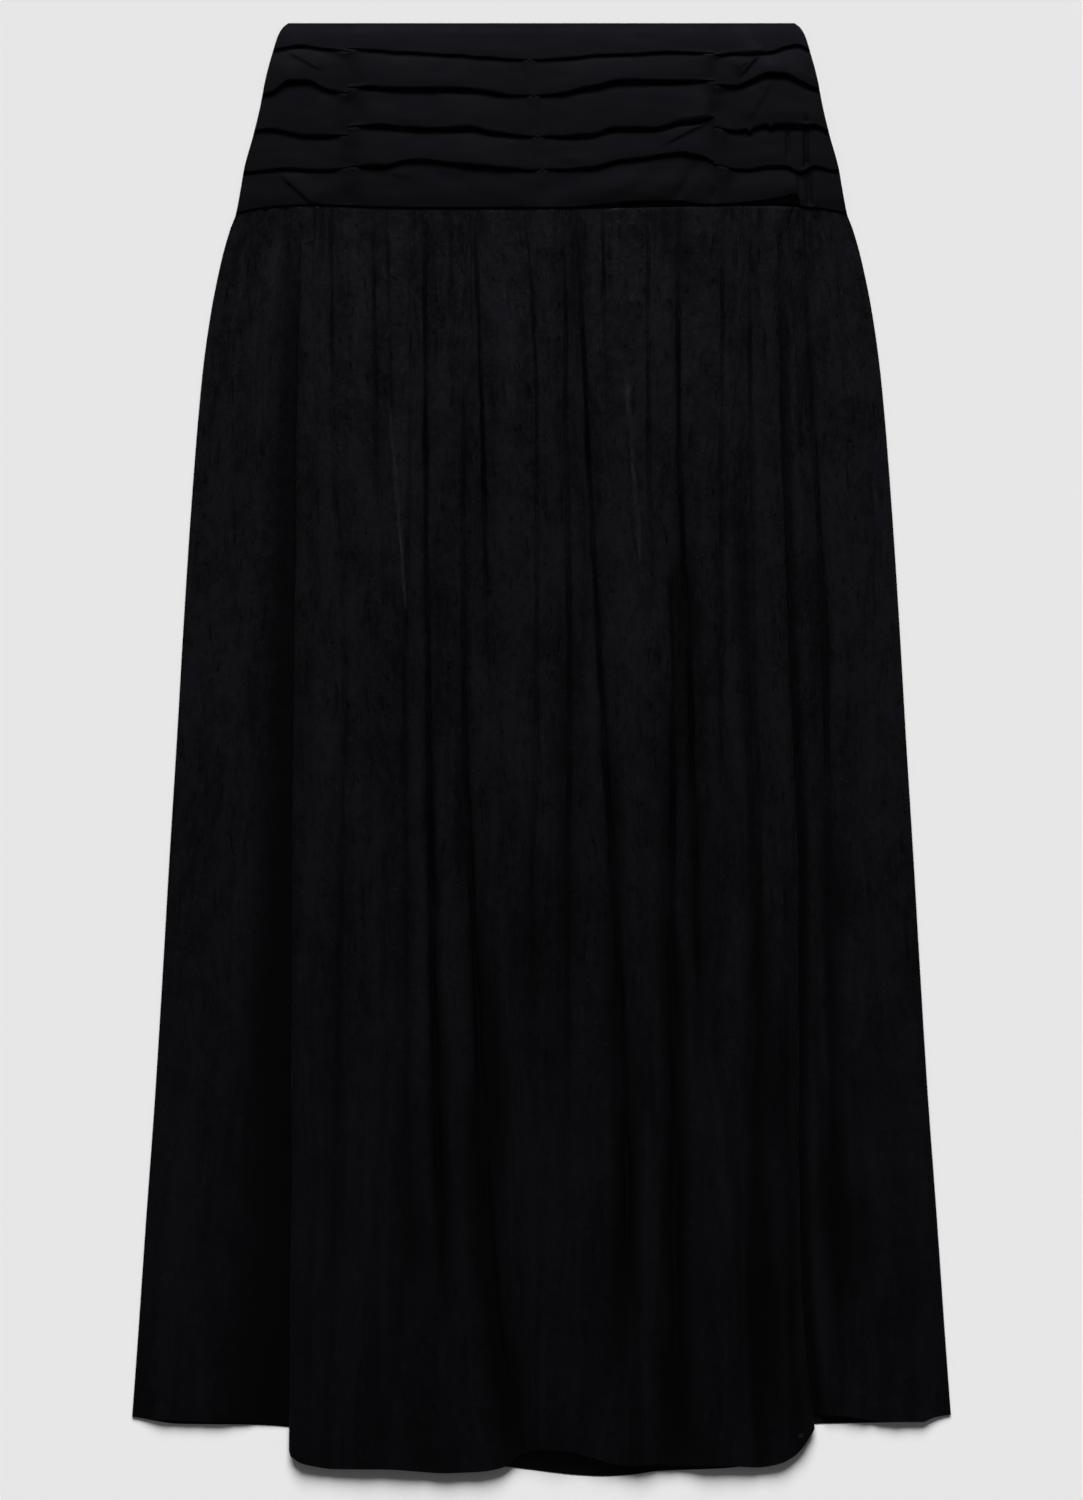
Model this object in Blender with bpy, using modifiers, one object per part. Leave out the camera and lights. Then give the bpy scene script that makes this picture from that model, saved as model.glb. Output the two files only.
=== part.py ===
"""A jacquard maxi skirt, lying flat on its back panels with its front up.

The skirt is cut in six pieces.  A yoke of plain crepe, tucked across, has three
front pieces and a plain back.  Below it hang a gathered front of crinkled
jacquard and a back of the same cloth.  Laid out, the middle of the front rests
over its own sides: each side runs in under the middle, turns back and turns
again, as one long soft fold from the yoke to the hem.

X runs to the right across the front, Y up towards the waist, Z away from the
surface that the skirt lies on.  The origin is under the middle of the skirt.
Places on the cloth are given as "down", the distance below the waist edge, and
"across", the distance right of the centre line.  Sizes are in millimetres.
"""
import math

import bmesh
import bpy

MM = 0.001

# ---------------------------------------------------------------- driving sizes
LENGTH = 968.4          # waist edge to the lowest point of the hem
CLOTH = 1.2             # wall that stands for the cloth
SEAM_GAP = 0.3          # clearance between two pieces that are sewn together
SEAM_DOWN = 123.0       # usual depth of the yoke
SIDE_SEAM_DOWN = 127.0  # and its depth at the side seams
HEM_DOWN = 962.0        # usual depth of the front hem
SIDE_HEM_DOWN = 929.0   # and its depth at the side seams
FLOOR_REST = CLOTH + SEAM_GAP + CLOTH / 2   # middle of a front wall on the back
LEFT_PANEL_SEAM = -129.0    # seams between the three yoke fronts
RIGHT_PANEL_SEAM = 115.0
CENTRE_TACK = -5.0          # where the tucks are caught down at centre front

# Half of the laid-out width, by depth below the waist edge.
OUTLINE = (
    # down, half width
    (0, 168.7), (3, 172.3), (8, 175.3), (17, 178.3), (37, 183.7), (57, 187.5),
    (77, 192.3), (97, 198.0), (117, 201.5), (127, 203.5), (137, 207.3), (157, 213.0),
    (197, 221.0), (237, 226.3), (317, 233.0), (397, 238.3), (477, 243.0), (557, 248.0),
    (637, 252.7), (717, 257.7), (797, 263.5), (877, 269.0), (929, 272.8),
)

# Depth of the seam between yoke and skirt.
YOKE_SEAM = (
    # across, down
    (-203.5, 127.0), (-190, 123.8), (-171, 121.8), (-150, 121.4), (-120, 122.4), (-80, 123.3), (30, 123.5),
    (75, 122.6), (110, 122.0), (145, 121.8), (171, 122.4), (190, 124.1), (203.5, 127.0),
)

# ------------------------------------------------------------------------- yoke
# Depth of the lip of each tuck across a panel.
LEFT_TUCKS = (
    # across, first, second, third, fourth
    (-194, 18.3, 48.7, 73.3, 99.3),
    (-181, 18.0, 46.3, 70.9, 98.0),
    (-168, 15.8, 38.7, 73.3, 96.8),
    (-156, 15.8, 38.5, 75.3, 98.0),
    (-144, 17.1, 44.3, 74.8, 98.0),
    (-131, 19.0, 47.0, 75.3, 96.7),
)
CENTRE_TUCKS = (
    # across, first, second, third, fourth
    (-127, 17.3, 43.3, 69.5, 96.0),
    (-108, 18.0, 43.3, 67.7, 95.8),
    (-88, 19.7, 43.7, 70.2, 91.5),
    (-48, 22.0, 44.8, 70.7, 94.7),
    (-28, 23.3, 47.2, 73.3, 96.7),
    (-5, 24.7, 48.3, 75.8, 98.0),
    (12, 23.5, 47.0, 76.0, 97.8),
    (32, 22.0, 43.1, 74.7, 96.4),
    (52, 20.7, 39.0, 70.5, 91.9),
    (72, 20.0, 38.7, 70.4, 89.6),
    (92, 19.3, 38.7, 66.7, 87.3),
    (110, 20.3, 39.0, 63.8, 89.3),
)
RIGHT_TUCKS = (
    # across, first, second, third, fourth
    (117, 21.3, 41.5, 70.0, 94.7),
    (129, 20.7, 41.9, 72.0, 97.1),
    (140, 20.2, 38.7, 70.8, 97.5),
    (151, 19.3, 34.5, 67.8, 96.0),
    (162, 16.3, 34.0, 67.6, 95.8),
    (172, 15.0, 38.5, 68.5, 99.2),
    (182, 19.6, 43.3, 68.5, 95.8),
    (194, 21.3, 46.7, 75.0, 98.6),
)
# How far the lowest puff of the yoke hangs over the seam below it.
SEAM_OVERHANG = (
    # across, overhang
    (-204, 0.3), (-128, 0.3), (-60, 0.6), (20, 0.8), (60, 2.4), (130, 4.0), (164, 4.2), (176, 0.5),
    (204, 0.3),
)
TUCK_TURN = 0.8         # radius of the hidden turn inside a tuck
LIP_FLAT = 0.75         # radius of a lip where the tuck is caught in a seam
LIP_PUFFED = 1.7        # radius of a lip where it stands up in mid panel
TUCK_SHALLOW = 0.8      # cloth folded under a lip, at a seam and in mid panel
TUCK_DEEP = 4.0
SEAM_TUCK = 1.5         # cloth folded under the lowest puff, behind the seam
OVERHANG_LIFT = 0.25    # how much wider its hidden turn is, for each mm of overhang
BELOW_LIP = 0.8         # clearance before the cloth rises again under a lip
# The puffed shape of the cloth from one tuck to the next lip.
STRIP_SHAPE = ((0, 0), (0.1, 0.12), (0.4, 0.72), (0.75, 1.02))   # share along, share up

# ------------------------------------------------------------------------ skirt
# The long fold on each side, where the middle of the front lies over its side:
# the lip, the width of cloth under it (negative: not folded yet) and the radius
# of its two turns.
LEFT_FOLD = (
    # down, lip across, tucked under, turn radius
    (123, -159.0, -7.0, 0.05),
    (135, -159.3, -5.0, 0.50),
    (150, -159.8, -1.0, 0.85),
    (170, -160.3, 6.0, 0.95),
    (200, -160.8, 15.0, 1.00),
    (260, -161.5, 21.0, 1.00),
    (430, -163.5, 30.0, 1.05),
    (600, -164.5, 28.0, 1.10),
    (770, -165.0, 26.0, 1.15),
    (962, -166.3, 23.0, 1.15),
)
RIGHT_FOLD = (
    # down, lip across, tucked under, turn radius
    (123, 157.5, -7.0, 0.05),
    (135, 157.2, -5.0, 0.50),
    (150, 157.0, -1.0, 0.85),
    (175, 156.9, 5.0, 0.95),
    (260, 157.2, 14.0, 1.00),
    (330, 159.3, 21.0, 1.00),
    (430, 163.5, 23.0, 1.05),
    (600, 169.5, 24.0, 1.10),
    (770, 169.8, 27.0, 1.15),
    (870, 172.0, 30.0, 1.15),
    (962, 180.3, 33.0, 1.15),
)
FOLD_RAMP = 3.0         # half width of a turn while it is still a plain slope
CROWN = 1.3             # height of the middle above its folded edges
SIDE_RISE = 3.4         # height of the side stretches above the back panel
EDGE_ROLL = 24.0        # width over which a side comes down to its side seam
GATHER_RISE = 26.0      # length over which the cloth rises out of the yoke seam
FOLD_EASE = 7.0         # width over which the middle settles past the cloth folded under it
# Width of the low ground beside each lip, and the width over which the side then
# rises: on the left it grows from the seam to the hem.
LEFT_SIDE_FOOT, LEFT_SIDE_SLOPE = 6.0, (14.0, 40.0)
RIGHT_SIDE_FOOT, RIGHT_SIDE_SLOPE = 3.0, (8.0, 8.0)

# Creases in the middle of the front, left to right.  "across" is read at the six
# depths of CREASE_LEVELS; a crease runs from "top" to "end" and fades out there.
CREASE_LEVELS = (123, 260, 430, 600, 770, 962)
MIDDLE_CREASES = (
    # across at the six levels, top, end, depth above, depth below, width above, width below
    ((-140.5, -139.5, -131.5, -134.5, -137.5, -143.0), 120, 920, 1.8, 1.2, 4, 6),
    ((-113.0, -110.5, -110.0, -112.0, -115.0, -122.0), 120, 330, 1.8, 0.0, 4, 5),
    ((-103.0, -101.0, -100.0, -101.0, -103.0, -112.0), 120, 190, 1.6, 0.0, 3, 4),
    ((-89.0, -87.5, -91.5, -90.5, -91.0, -101.0), 170, 920, 2.0, 1.6, 4, 6),
    ((-77.0, -77.5, -75.5, -73.0, -68.5, -62.5), 124, 850, 3.4, 3.6, 4, 6),
    ((-60.5, -62.0, -62.5, -59.0, -53.0, -44.0), 120, 200, 1.6, 0.0, 3, 4),
    ((-46.5, -50.5, -51.0, -44.5, -35.5, -23.5), 124, 975, 2.8, 4.4, 4, 10),
    ((-41.0, -40.0, -36.0, -30.0, -22.0, -12.0), 170, 345, 2.6, 0.0, 3, 4),
    ((-10.5, -3.5, -3.0, -6.5, -4.5, -1.0), 120, 660, 2.4, 2.0, 4, 5),
    ((15.5, 16.5, 18.5, 17.0, 16.5, 16.5), 130, 660, 2.0, 1.8, 4, 5),
    ((24.0, 29.5, 42.5, 54.5, 58.5, 53.5), 124, 925, 2.8, 4.2, 4, 6),
    ((40.5, 44.0, 53.0, 62.0, 65.5, 62.0), 120, 190, 1.6, 0.0, 3, 4),
    ((55.0, 57.5, 66.0, 70.0, 74.0, 76.0), 120, 320, 1.6, 0.0, 4, 4),
    ((91.0, 88.5, 90.5, 85.5, 87.5, 102.5), 124, 930, 3.2, 4.4, 5, 9),
    ((103.5, 98.0, 100.5, 105.5, 107.5, 115.5), 120, 730, 1.4, 2.6, 4, 5),
    ((121.5, 119.5, 119.0, 123.0, 127.0, 129.0), 120, 640, 2.4, 2.0, 4, 5),
    ((137.5, 136.5, 140.0, 145.0, 141.5, 146.5), 120, 930, 1.4, 2.8, 4, 7),
)
# The one crease on the right side stretch, outside the long fold.
SIDE_CREASE = ((174.5, 181.0, 189.0, 191.5, 195.0, 200.5), 124, 850, 2.4, 3.0, 4, 6)
CREASE_FADE = 40.0      # length over which a crease begins or ends

# Depth of the hem along the front: on the side stretches and on the middle.
LEFT_SIDE_HEM = ((-273, 928.7), (-242, 931.3), (-169, 933.3), (-140, 935.5))
MIDDLE_HEM = (
    # across, down
    (-166.3, 954.7), (-161, 958.7), (-150, 961.5), (-139, 963.0), (-102, 963.3), (-65, 965.7),
    (-40, 964.7), (-24, 961.5), (-12, 952.5), (0, 950.3), (16, 951.0), (36, 956.2), (49, 960.0),
    (62, 961.3), (74, 960.0), (95, 961.0), (127, 961.2), (144, 962.0), (158, 959.7), (168, 954.7),
    (174.5, 948.0), (180.3, 938.7),
)
RIGHT_SIDE_HEM = (
    # across, down
    (147, 927.0), (180, 927.3), (200, 928.0), (230, 932.0), (254, 932.0), (261, 929.2), (273, 927.3),
)
# Where the front hem arches and stands up off the back, just right of centre.
HEM_ARCH = {"across": 5.0, "width": 24.0, "length": 60.0, "lift": 2.5}
BACK_HEM = (
    # across, down
    (-273, 928.7), (-241, 933.6), (-191, 934.2), (-165, 936), (-120, 950), (-60, 958.5), (-14, 963.2),
    (24, 967.6), (41, 968.4), (62, 967.3), (76, 965.2), (127, 962.8), (150, 956), (170, 940),
    (181, 933.6), (232, 932.6), (254, 930.2), (273, 927.3),
)

# --------------------------------------------------------------- mesh fineness
SKIRT_STATIONS = (0, 0.006, 0.015, 0.028, 0.045, 0.07, 0.11, 0.17, 0.25, 0.34, 0.44, 0.54, 0.64,
                  0.74, 0.84, 0.92, 0.97, 1)
SIDE_EDGE_STEPS = (0, 2, 6, 13, 24)       # columns next to a side seam
LEFT_SIDE_STEPS = (0.25, 0.5, 0.75, 1)    # then columns as shares of the stretch to NEAR_LIP
RIGHT_SIDE_STEPS = (0.35, 0.7, 1)
UNDER_LIP_STEPS = (0.35, 0.7)             # and of the stretch hidden under the middle
NEAR_LEFT_LIP, NEAR_RIGHT_LIP, INSIDE_LIP = 12.0, 5.0, 4.0
TURN_ANGLES = (-90, -30, 30, 90)          # points round each turn of a fold
BETWEEN_CREASES = (0.25, 0.5, 0.75)
LEFT_YOKE_COLUMNS = (0, 0.09, 0.19, 0.32, 0.5, 0.75, 1)
CENTRE_YOKE_COLUMNS = (0, 0.06, 0.16, 0.27, 0.38, 0.46, 0.51, 0.56, 0.65, 0.75, 0.85, 0.94, 1)
RIGHT_YOKE_COLUMNS = (0, 0.15, 0.3, 0.43, 0.55, 0.67, 0.78, 0.86, 0.93, 1)
BACK_COLUMNS = 16
YOKE_BACK_STATIONS = (0, 0.03, 0.07, 0.2, 0.4, 0.6, 0.8, 1)
SKIRT_BACK_STATIONS = (0, 0.02, 0.05, 0.1, 0.16, 0.28, 0.42, 0.56, 0.7, 0.84, 1)


def curve(rows, at, column=1):
    """Read a table at a place, on a smooth curve through its rows that never overshoots."""
    keys = [row[0] for row in rows]
    values = [row[column] for row in rows]
    if at <= keys[0]:
        return values[0]
    if at >= keys[-1]:
        return values[-1]
    i = max(k for k in range(len(keys) - 1) if keys[k] <= at)
    slopes = [(values[k + 1] - values[k]) / (keys[k + 1] - keys[k]) for k in range(len(keys) - 1)]

    def tangent(k):
        if k == 0 or k == len(keys) - 1:
            return slopes[0] if k == 0 else slopes[-1]
        before, after = slopes[k - 1], slopes[k]
        return 0.0 if before * after <= 0 else 2 * before * after / (before + after)

    span = keys[i + 1] - keys[i]
    t = (at - keys[i]) / span
    return ((2 * t**3 - 3 * t**2 + 1) * values[i] + (t**3 - 2 * t**2 + t) * span * tangent(i)
            + (3 * t**2 - 2 * t**3) * values[i + 1] + (t**3 - t**2) * span * tangent(i + 1))


def ease(t):
    """0 to 1, level at both ends."""
    t = min(max(t, 0.0), 1.0)
    return t * t * (3 - 2 * t)


def mix(a, b, t):
    return a + (b - a) * t


# ------------------------------------------------------------------------- yoke
def puff(across, down):
    """How far the tucks stand up here: 0 at a seam or tack, 1 in mid panel."""
    half = curve(OUTLINE, down)
    stops = (-half, LEFT_PANEL_SEAM, CENTRE_TACK, RIGHT_PANEL_SEAM, half)
    for start, end in zip(stops, stops[1:]):
        if across <= end:
            return math.sin(math.pi * min(max((across - start) / (end - start), 0), 1)) ** 0.7
    return 0.0


def half_turn(centre, level, radius, side):
    """Half a turn of the cloth from its top to its underside, bulging to one side."""
    angles = [math.radians(angle) for angle in reversed(TURN_ANGLES)]
    return [(centre + side * radius * math.cos(a), level + radius * math.sin(a)) for a in angles]


def yoke_profile(tucks, across):
    """Middle line of the yoke wall from the waist edge down to its seam, as (down, z)."""
    seam = curve(YOKE_SEAM, across)
    overhang = curve(SEAM_OVERHANG, across)
    lips = [curve(tucks, across, column) for column in (1, 2, 3, 4)] + [seam + overhang]
    points = []
    start, start_z = 0.0, FLOOR_REST
    for number, lip in enumerate(lips):
        stand = puff(across, lip)
        turn = TUCK_TURN
        lip_turn = mix(LIP_FLAT, LIP_PUFFED, stand)
        under = mix(TUCK_SHALLOW, TUCK_DEEP, stand)
        if number == len(lips) - 1:
            turn += OVERHANG_LIFT * overhang
            lip_turn = mix(lip_turn, LIP_FLAT, 0.3)
            under = overhang + SEAM_TUCK
        lip_centre = lip - lip_turn - CLOTH / 2
        top = FLOOR_REST + 2 * turn + 2 * lip_turn
        for along, up in STRIP_SHAPE:
            points.append((mix(start, lip_centre, along), mix(start_z, top, up)))
        points += half_turn(lip_centre, top - lip_turn, lip_turn, 1)
        points += half_turn(lip_centre - under, FLOOR_REST + turn, turn, -1)
        start, start_z = lip + BELOW_LIP, FLOOR_REST
    points.append((seam - SEAM_GAP / 2, FLOOR_REST))
    return points


def yoke_front(name, tucks, columns):
    """A tucked yoke panel; columns give the across value for a half width."""
    middle = curve(OUTLINE, SEAM_DOWN / 2)
    grid = []
    for column in columns:
        profile = yoke_profile(tucks, column(middle))
        grid.append([(column(curve(OUTLINE, down)), down, z) for down, z in profile])
    return cloth_wall(name, grid)


def from_left_side(share):
    return lambda half: mix(-half, LEFT_PANEL_SEAM - SEAM_GAP / 2, share)


def from_right_side(share):
    return lambda half: mix(RIGHT_PANEL_SEAM + SEAM_GAP / 2, half, share)


def between_seams(share):
    across = mix(LEFT_PANEL_SEAM + SEAM_GAP / 2, RIGHT_PANEL_SEAM - SEAM_GAP / 2, share)
    return lambda half: across


# ------------------------------------------------------------------------ skirt
def track(crease, down):
    """Where a crease lies across, at this depth."""
    return curve(tuple(zip(CREASE_LEVELS, crease[0])), down)


def trough(crease, across, down):
    """How far a crease presses the cloth down at a place."""
    _, top, end, depth_above, depth_below, width_above, width_below = crease
    lowness = (down - SEAM_DOWN) / (HEM_DOWN - SEAM_DOWN)
    depth = mix(depth_above, depth_below, lowness)
    width = mix(width_above, width_below, lowness)
    shown = ease((down - top) / CREASE_FADE + 0.5) * ease((end - down) / CREASE_FADE + 0.5)
    return depth * shown * math.exp(-((across - track(crease, down)) / width) ** 2)


def rise_from_seam(down):
    return ease((down - SEAM_DOWN) / GATHER_RISE)


def long_fold(down, rows, side):
    """The two turns of a long fold, from the cloth underneath to its lip, as (across, z).

    side is 1 where the cloth comes in from the left, -1 where it comes from the right.
    """
    lip, under, radius = (curve(rows, down, column) for column in (1, 2, 3))
    closed = min(max(1 - under / rows[0][2], 0.0), 1.0)
    points = []
    for centre, bulge, level in ((under, 1, 1), (0.0, -1, 3)):
        for angle in TURN_ANGLES:
            a = math.radians(angle)
            inward = centre + bulge * closed * radius * math.cos(a) + (1 - closed) * FOLD_RAMP * math.sin(a)
            points.append((lip + side * inward, FLOOR_REST + level * radius + radius * math.sin(a)))
    return points


def middle_height(across, down):
    """Middle line of the wall where the middle of the front lies on top."""
    layers = 4 * curve(LEFT_FOLD, down, 3)
    floor = FLOOR_REST
    for rows, side in ((LEFT_FOLD, 1), (RIGHT_FOLD, -1)):
        lip, under, radius = (curve(rows, down, column) for column in (1, 2, 3))
        past = side * (across - lip) - max(under, 0) - radius
        floor = max(floor, FLOOR_REST + layers * (1 - ease(past / FOLD_EASE)))
    crown = CROWN * rise_from_seam(down)
    height = FLOOR_REST + layers + crown
    height -= sum(trough(crease, across, down) for crease in MIDDLE_CREASES)
    lift = HEM_ARCH["lift"] * math.exp(-((across - HEM_ARCH["across"]) / HEM_ARCH["width"]) ** 2)
    lift *= ease(1 - (HEM_DOWN - down) / HEM_ARCH["length"])
    return max(height, floor) + lift


def side_height(across, down, half, lip):
    """Middle line of the wall on a side stretch, which lies on the back panel."""
    foot, slopes = (LEFT_SIDE_FOOT, LEFT_SIDE_SLOPE) if across < 0 else (RIGHT_SIDE_FOOT, RIGHT_SIDE_SLOPE)
    slope = mix(*slopes, (down - SEAM_DOWN) / (HEM_DOWN - SEAM_DOWN))
    away = ease((abs(across) - abs(lip) - foot) / slope)
    rise = SIDE_RISE * away * ease((half - abs(across)) / EDGE_ROLL) * rise_from_seam(down)
    if across > 0:
        rise -= trough(SIDE_CREASE, across, down)
    return FLOOR_REST + max(rise, 0.0)


def skirt_section(share):
    """Middle line of the front at a share of its length: (across, down, z), left to right."""
    down = mix(SEAM_DOWN, HEM_DOWN, share)
    side_down = mix(SEAM_DOWN, SIDE_HEM_DOWN, share)
    half = curve(OUTLINE, mix(SIDE_SEAM_DOWN, SIDE_HEM_DOWN, share))
    left_lip = curve(LEFT_FOLD, down)
    right_lip = curve(RIGHT_FOLD, down)
    left_turns = long_fold(down, LEFT_FOLD, 1)
    right_turns = long_fold(down, RIGHT_FOLD, -1)

    def place(across, z, hem):
        seam = curve(YOKE_SEAM, across) + SEAM_GAP / 2
        return (across, mix(seam, hem, share), z)

    line = []
    # Left side stretch, from the side seam to the hidden turn.
    edge = -half + EDGE_ROLL
    near_lip = left_lip - NEAR_LEFT_LIP
    across_values = [-half + step for step in SIDE_EDGE_STEPS]
    across_values += [mix(edge, near_lip, s) for s in LEFT_SIDE_STEPS]
    across_values += [mix(near_lip, left_turns[0][0], s) for s in UNDER_LIP_STEPS]
    for across in across_values:
        line.append(place(across, side_height(across, side_down, half, left_lip), curve(LEFT_SIDE_HEM, across)))
    # Left long fold: the hem runs from its depth on the side to its depth on the middle.
    for number, (across, z) in enumerate(left_turns):
        step = number / (len(left_turns) - 1)
        line.append(place(across, z, mix(LEFT_SIDE_HEM[-1][1], MIDDLE_HEM[0][1], step)))
    # Middle, with columns on every crease and between them.
    stops = [left_lip + INSIDE_LIP] + [track(crease, down) for crease in MIDDLE_CREASES]
    stops.append(right_lip - INSIDE_LIP)
    across_values = []
    for start, end in zip(stops, stops[1:]):
        across_values += [start] + [mix(start, end, s) for s in BETWEEN_CREASES]
    for across in across_values + stops[-1:]:
        line.append(place(across, middle_height(across, down), curve(MIDDLE_HEM, across)))
    # Right long fold and side stretch, the mirror of the left.
    for number, (across, z) in enumerate(reversed(right_turns)):
        step = number / (len(right_turns) - 1)
        line.append(place(across, z, mix(MIDDLE_HEM[-1][1], RIGHT_SIDE_HEM[0][1], step)))
    edge = half - EDGE_ROLL
    near_lip = right_lip + NEAR_RIGHT_LIP
    crease = track(SIDE_CREASE, side_down)
    across_values = [mix(near_lip, right_turns[0][0], s) for s in (*reversed(UNDER_LIP_STEPS), 0)]
    across_values += [mix(near_lip, crease, s) for s in RIGHT_SIDE_STEPS]
    across_values += [mix(crease, edge, s) for s in RIGHT_SIDE_STEPS[:-1]]
    across_values += [half - step for step in reversed(SIDE_EDGE_STEPS)]
    for across in across_values:
        line.append(place(across, side_height(across, side_down, half, right_lip),
                          curve(RIGHT_SIDE_HEM, across)))
    return line


# -------------------------------------------------------------- making the walls
def cloth_wall(name, grid, offset=0.0):
    """A wall of cloth on a grid of (across, down, z) places, thickened by Solidify."""
    mesh = bpy.data.meshes.new(name)
    shape = bmesh.new()
    rows = [[shape.verts.new((across * MM, (LENGTH / 2 - down) * MM, z * MM))
             for across, down, z in row] for row in grid]
    for upper, lower in zip(rows, rows[1:]):
        for a, b, c, d in zip(upper, lower, lower[1:], upper[1:]):
            shape.faces.new((a, b, c, d))
    shape.normal_update()
    facing_up = sum(face.normal.z * face.calc_area() for face in shape.faces)
    if facing_up < 0:
        bmesh.ops.reverse_faces(shape, faces=shape.faces)
    shape.to_mesh(mesh)
    shape.free()
    mesh.shade_smooth()
    wall = bpy.data.objects.new(name, mesh)
    skirt.objects.link(wall)
    solidify = wall.modifiers.new("Cloth", "SOLIDIFY")
    solidify.thickness = CLOTH * MM
    solidify.offset = offset
    return wall


def back_panel(name, stations, side_depths, top_down, bottom_down):
    """A flat back panel between two edges; side_depths are where its side seams start and end."""
    grid = []
    for share in stations:
        half = curve(OUTLINE, mix(*side_depths, share))
        row = [half * (2 * column / BACK_COLUMNS - 1) for column in range(BACK_COLUMNS + 1)]
        grid.append([(across, mix(top_down(across), bottom_down(across), share), 0.0) for across in row])
    return cloth_wall(name, grid, offset=1.0)


def finish(wall, colour, roughness, sheen):
    """The piece's own cloth."""
    material = bpy.data.materials.new(wall.name + "_cloth")
    material.use_nodes = True
    shader = material.node_tree.nodes["Principled BSDF"]
    shader.inputs["Base Color"].default_value = (*colour, 1)
    shader.inputs["Roughness"].default_value = roughness
    shader.inputs["Sheen Weight"].default_value = sheen
    wall.data.materials.append(material)


for old in list(bpy.data.objects):
    bpy.data.objects.remove(old)
skirt = bpy.data.collections.new("jacquard_maxi_skirt")
bpy.context.scene.collection.children.link(skirt)

CREPE = (0.0080, 0.0075, 0.0096)
JACQUARD = (0.0052, 0.0051, 0.0062)

yoke_pieces = [
    yoke_front("yoke_front_left", LEFT_TUCKS, [from_left_side(share) for share in LEFT_YOKE_COLUMNS]),
    yoke_front("yoke_front_centre", CENTRE_TUCKS, [between_seams(share) for share in CENTRE_YOKE_COLUMNS]),
    yoke_front("yoke_front_right", RIGHT_TUCKS, [from_right_side(share) for share in RIGHT_YOKE_COLUMNS]),
    back_panel("yoke_back", YOKE_BACK_STATIONS, (0, SIDE_SEAM_DOWN),
               lambda across: 0.0, lambda across: curve(YOKE_SEAM, across) - SEAM_GAP / 2),
]
for piece in yoke_pieces:
    finish(piece, CREPE, 0.72, 0.15)

skirt_pieces = [
    cloth_wall("skirt_front", [skirt_section(share) for share in SKIRT_STATIONS]),
    back_panel("skirt_back", SKIRT_BACK_STATIONS, (SIDE_SEAM_DOWN, SIDE_HEM_DOWN),
               lambda across: curve(YOKE_SEAM, across) + SEAM_GAP / 2,
               lambda across: curve(BACK_HEM, across)),
]
for piece in skirt_pieces:
    finish(piece, JACQUARD, 0.6, 0.25)
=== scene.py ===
import math
import random

import bpy
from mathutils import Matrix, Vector, noise


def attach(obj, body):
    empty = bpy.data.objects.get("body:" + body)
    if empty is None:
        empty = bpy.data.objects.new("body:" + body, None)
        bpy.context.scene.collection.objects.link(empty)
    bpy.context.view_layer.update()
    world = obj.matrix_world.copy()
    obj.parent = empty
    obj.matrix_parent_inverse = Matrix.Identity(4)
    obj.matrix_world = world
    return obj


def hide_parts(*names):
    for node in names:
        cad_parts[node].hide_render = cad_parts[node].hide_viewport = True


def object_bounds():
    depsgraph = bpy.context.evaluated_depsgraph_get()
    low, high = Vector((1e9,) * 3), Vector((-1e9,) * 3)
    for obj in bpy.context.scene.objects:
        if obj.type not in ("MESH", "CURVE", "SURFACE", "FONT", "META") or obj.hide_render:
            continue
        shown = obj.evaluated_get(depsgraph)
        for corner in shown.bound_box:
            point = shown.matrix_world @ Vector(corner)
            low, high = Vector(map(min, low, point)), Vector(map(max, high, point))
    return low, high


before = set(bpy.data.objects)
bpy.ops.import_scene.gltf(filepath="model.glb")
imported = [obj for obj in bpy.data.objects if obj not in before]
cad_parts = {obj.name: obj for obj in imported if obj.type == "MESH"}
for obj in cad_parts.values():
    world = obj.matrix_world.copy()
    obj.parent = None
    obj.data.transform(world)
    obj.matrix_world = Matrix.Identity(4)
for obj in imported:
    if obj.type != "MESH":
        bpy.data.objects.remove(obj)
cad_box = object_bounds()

# ------------------------
# Yoke fronts.  Three panels of plain crepe, joined by two upright seams.  Each
# is pressed into four soft tucks across, caught in the seams and at centre
# front, so that they puff up in between and roll over towards the hem.
MM = 0.001
WAIST = cad_box[1].y / MM  # the waist edge; "down" is measured from it
CREPE_WALL = 0.5
LAID = 1.5  # middle of a front wall where it lies on the back
HALF_GAP = 0.01  # half the gap between two panels along a seam
EDGE_HOLD = 0.15  # a wall stays crisp to this close to its cut edge
LEFT_PANEL_SEAM, CENTRE_TACK, RIGHT_PANEL_SEAM = -129, -5, 115
SIDE_SEAM_DOWN = 127  # where the yoke ends at the side seams
MID_TUCKS, MID_YOKE = 60, 62  # halfway down the tucks and the yoke

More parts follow.
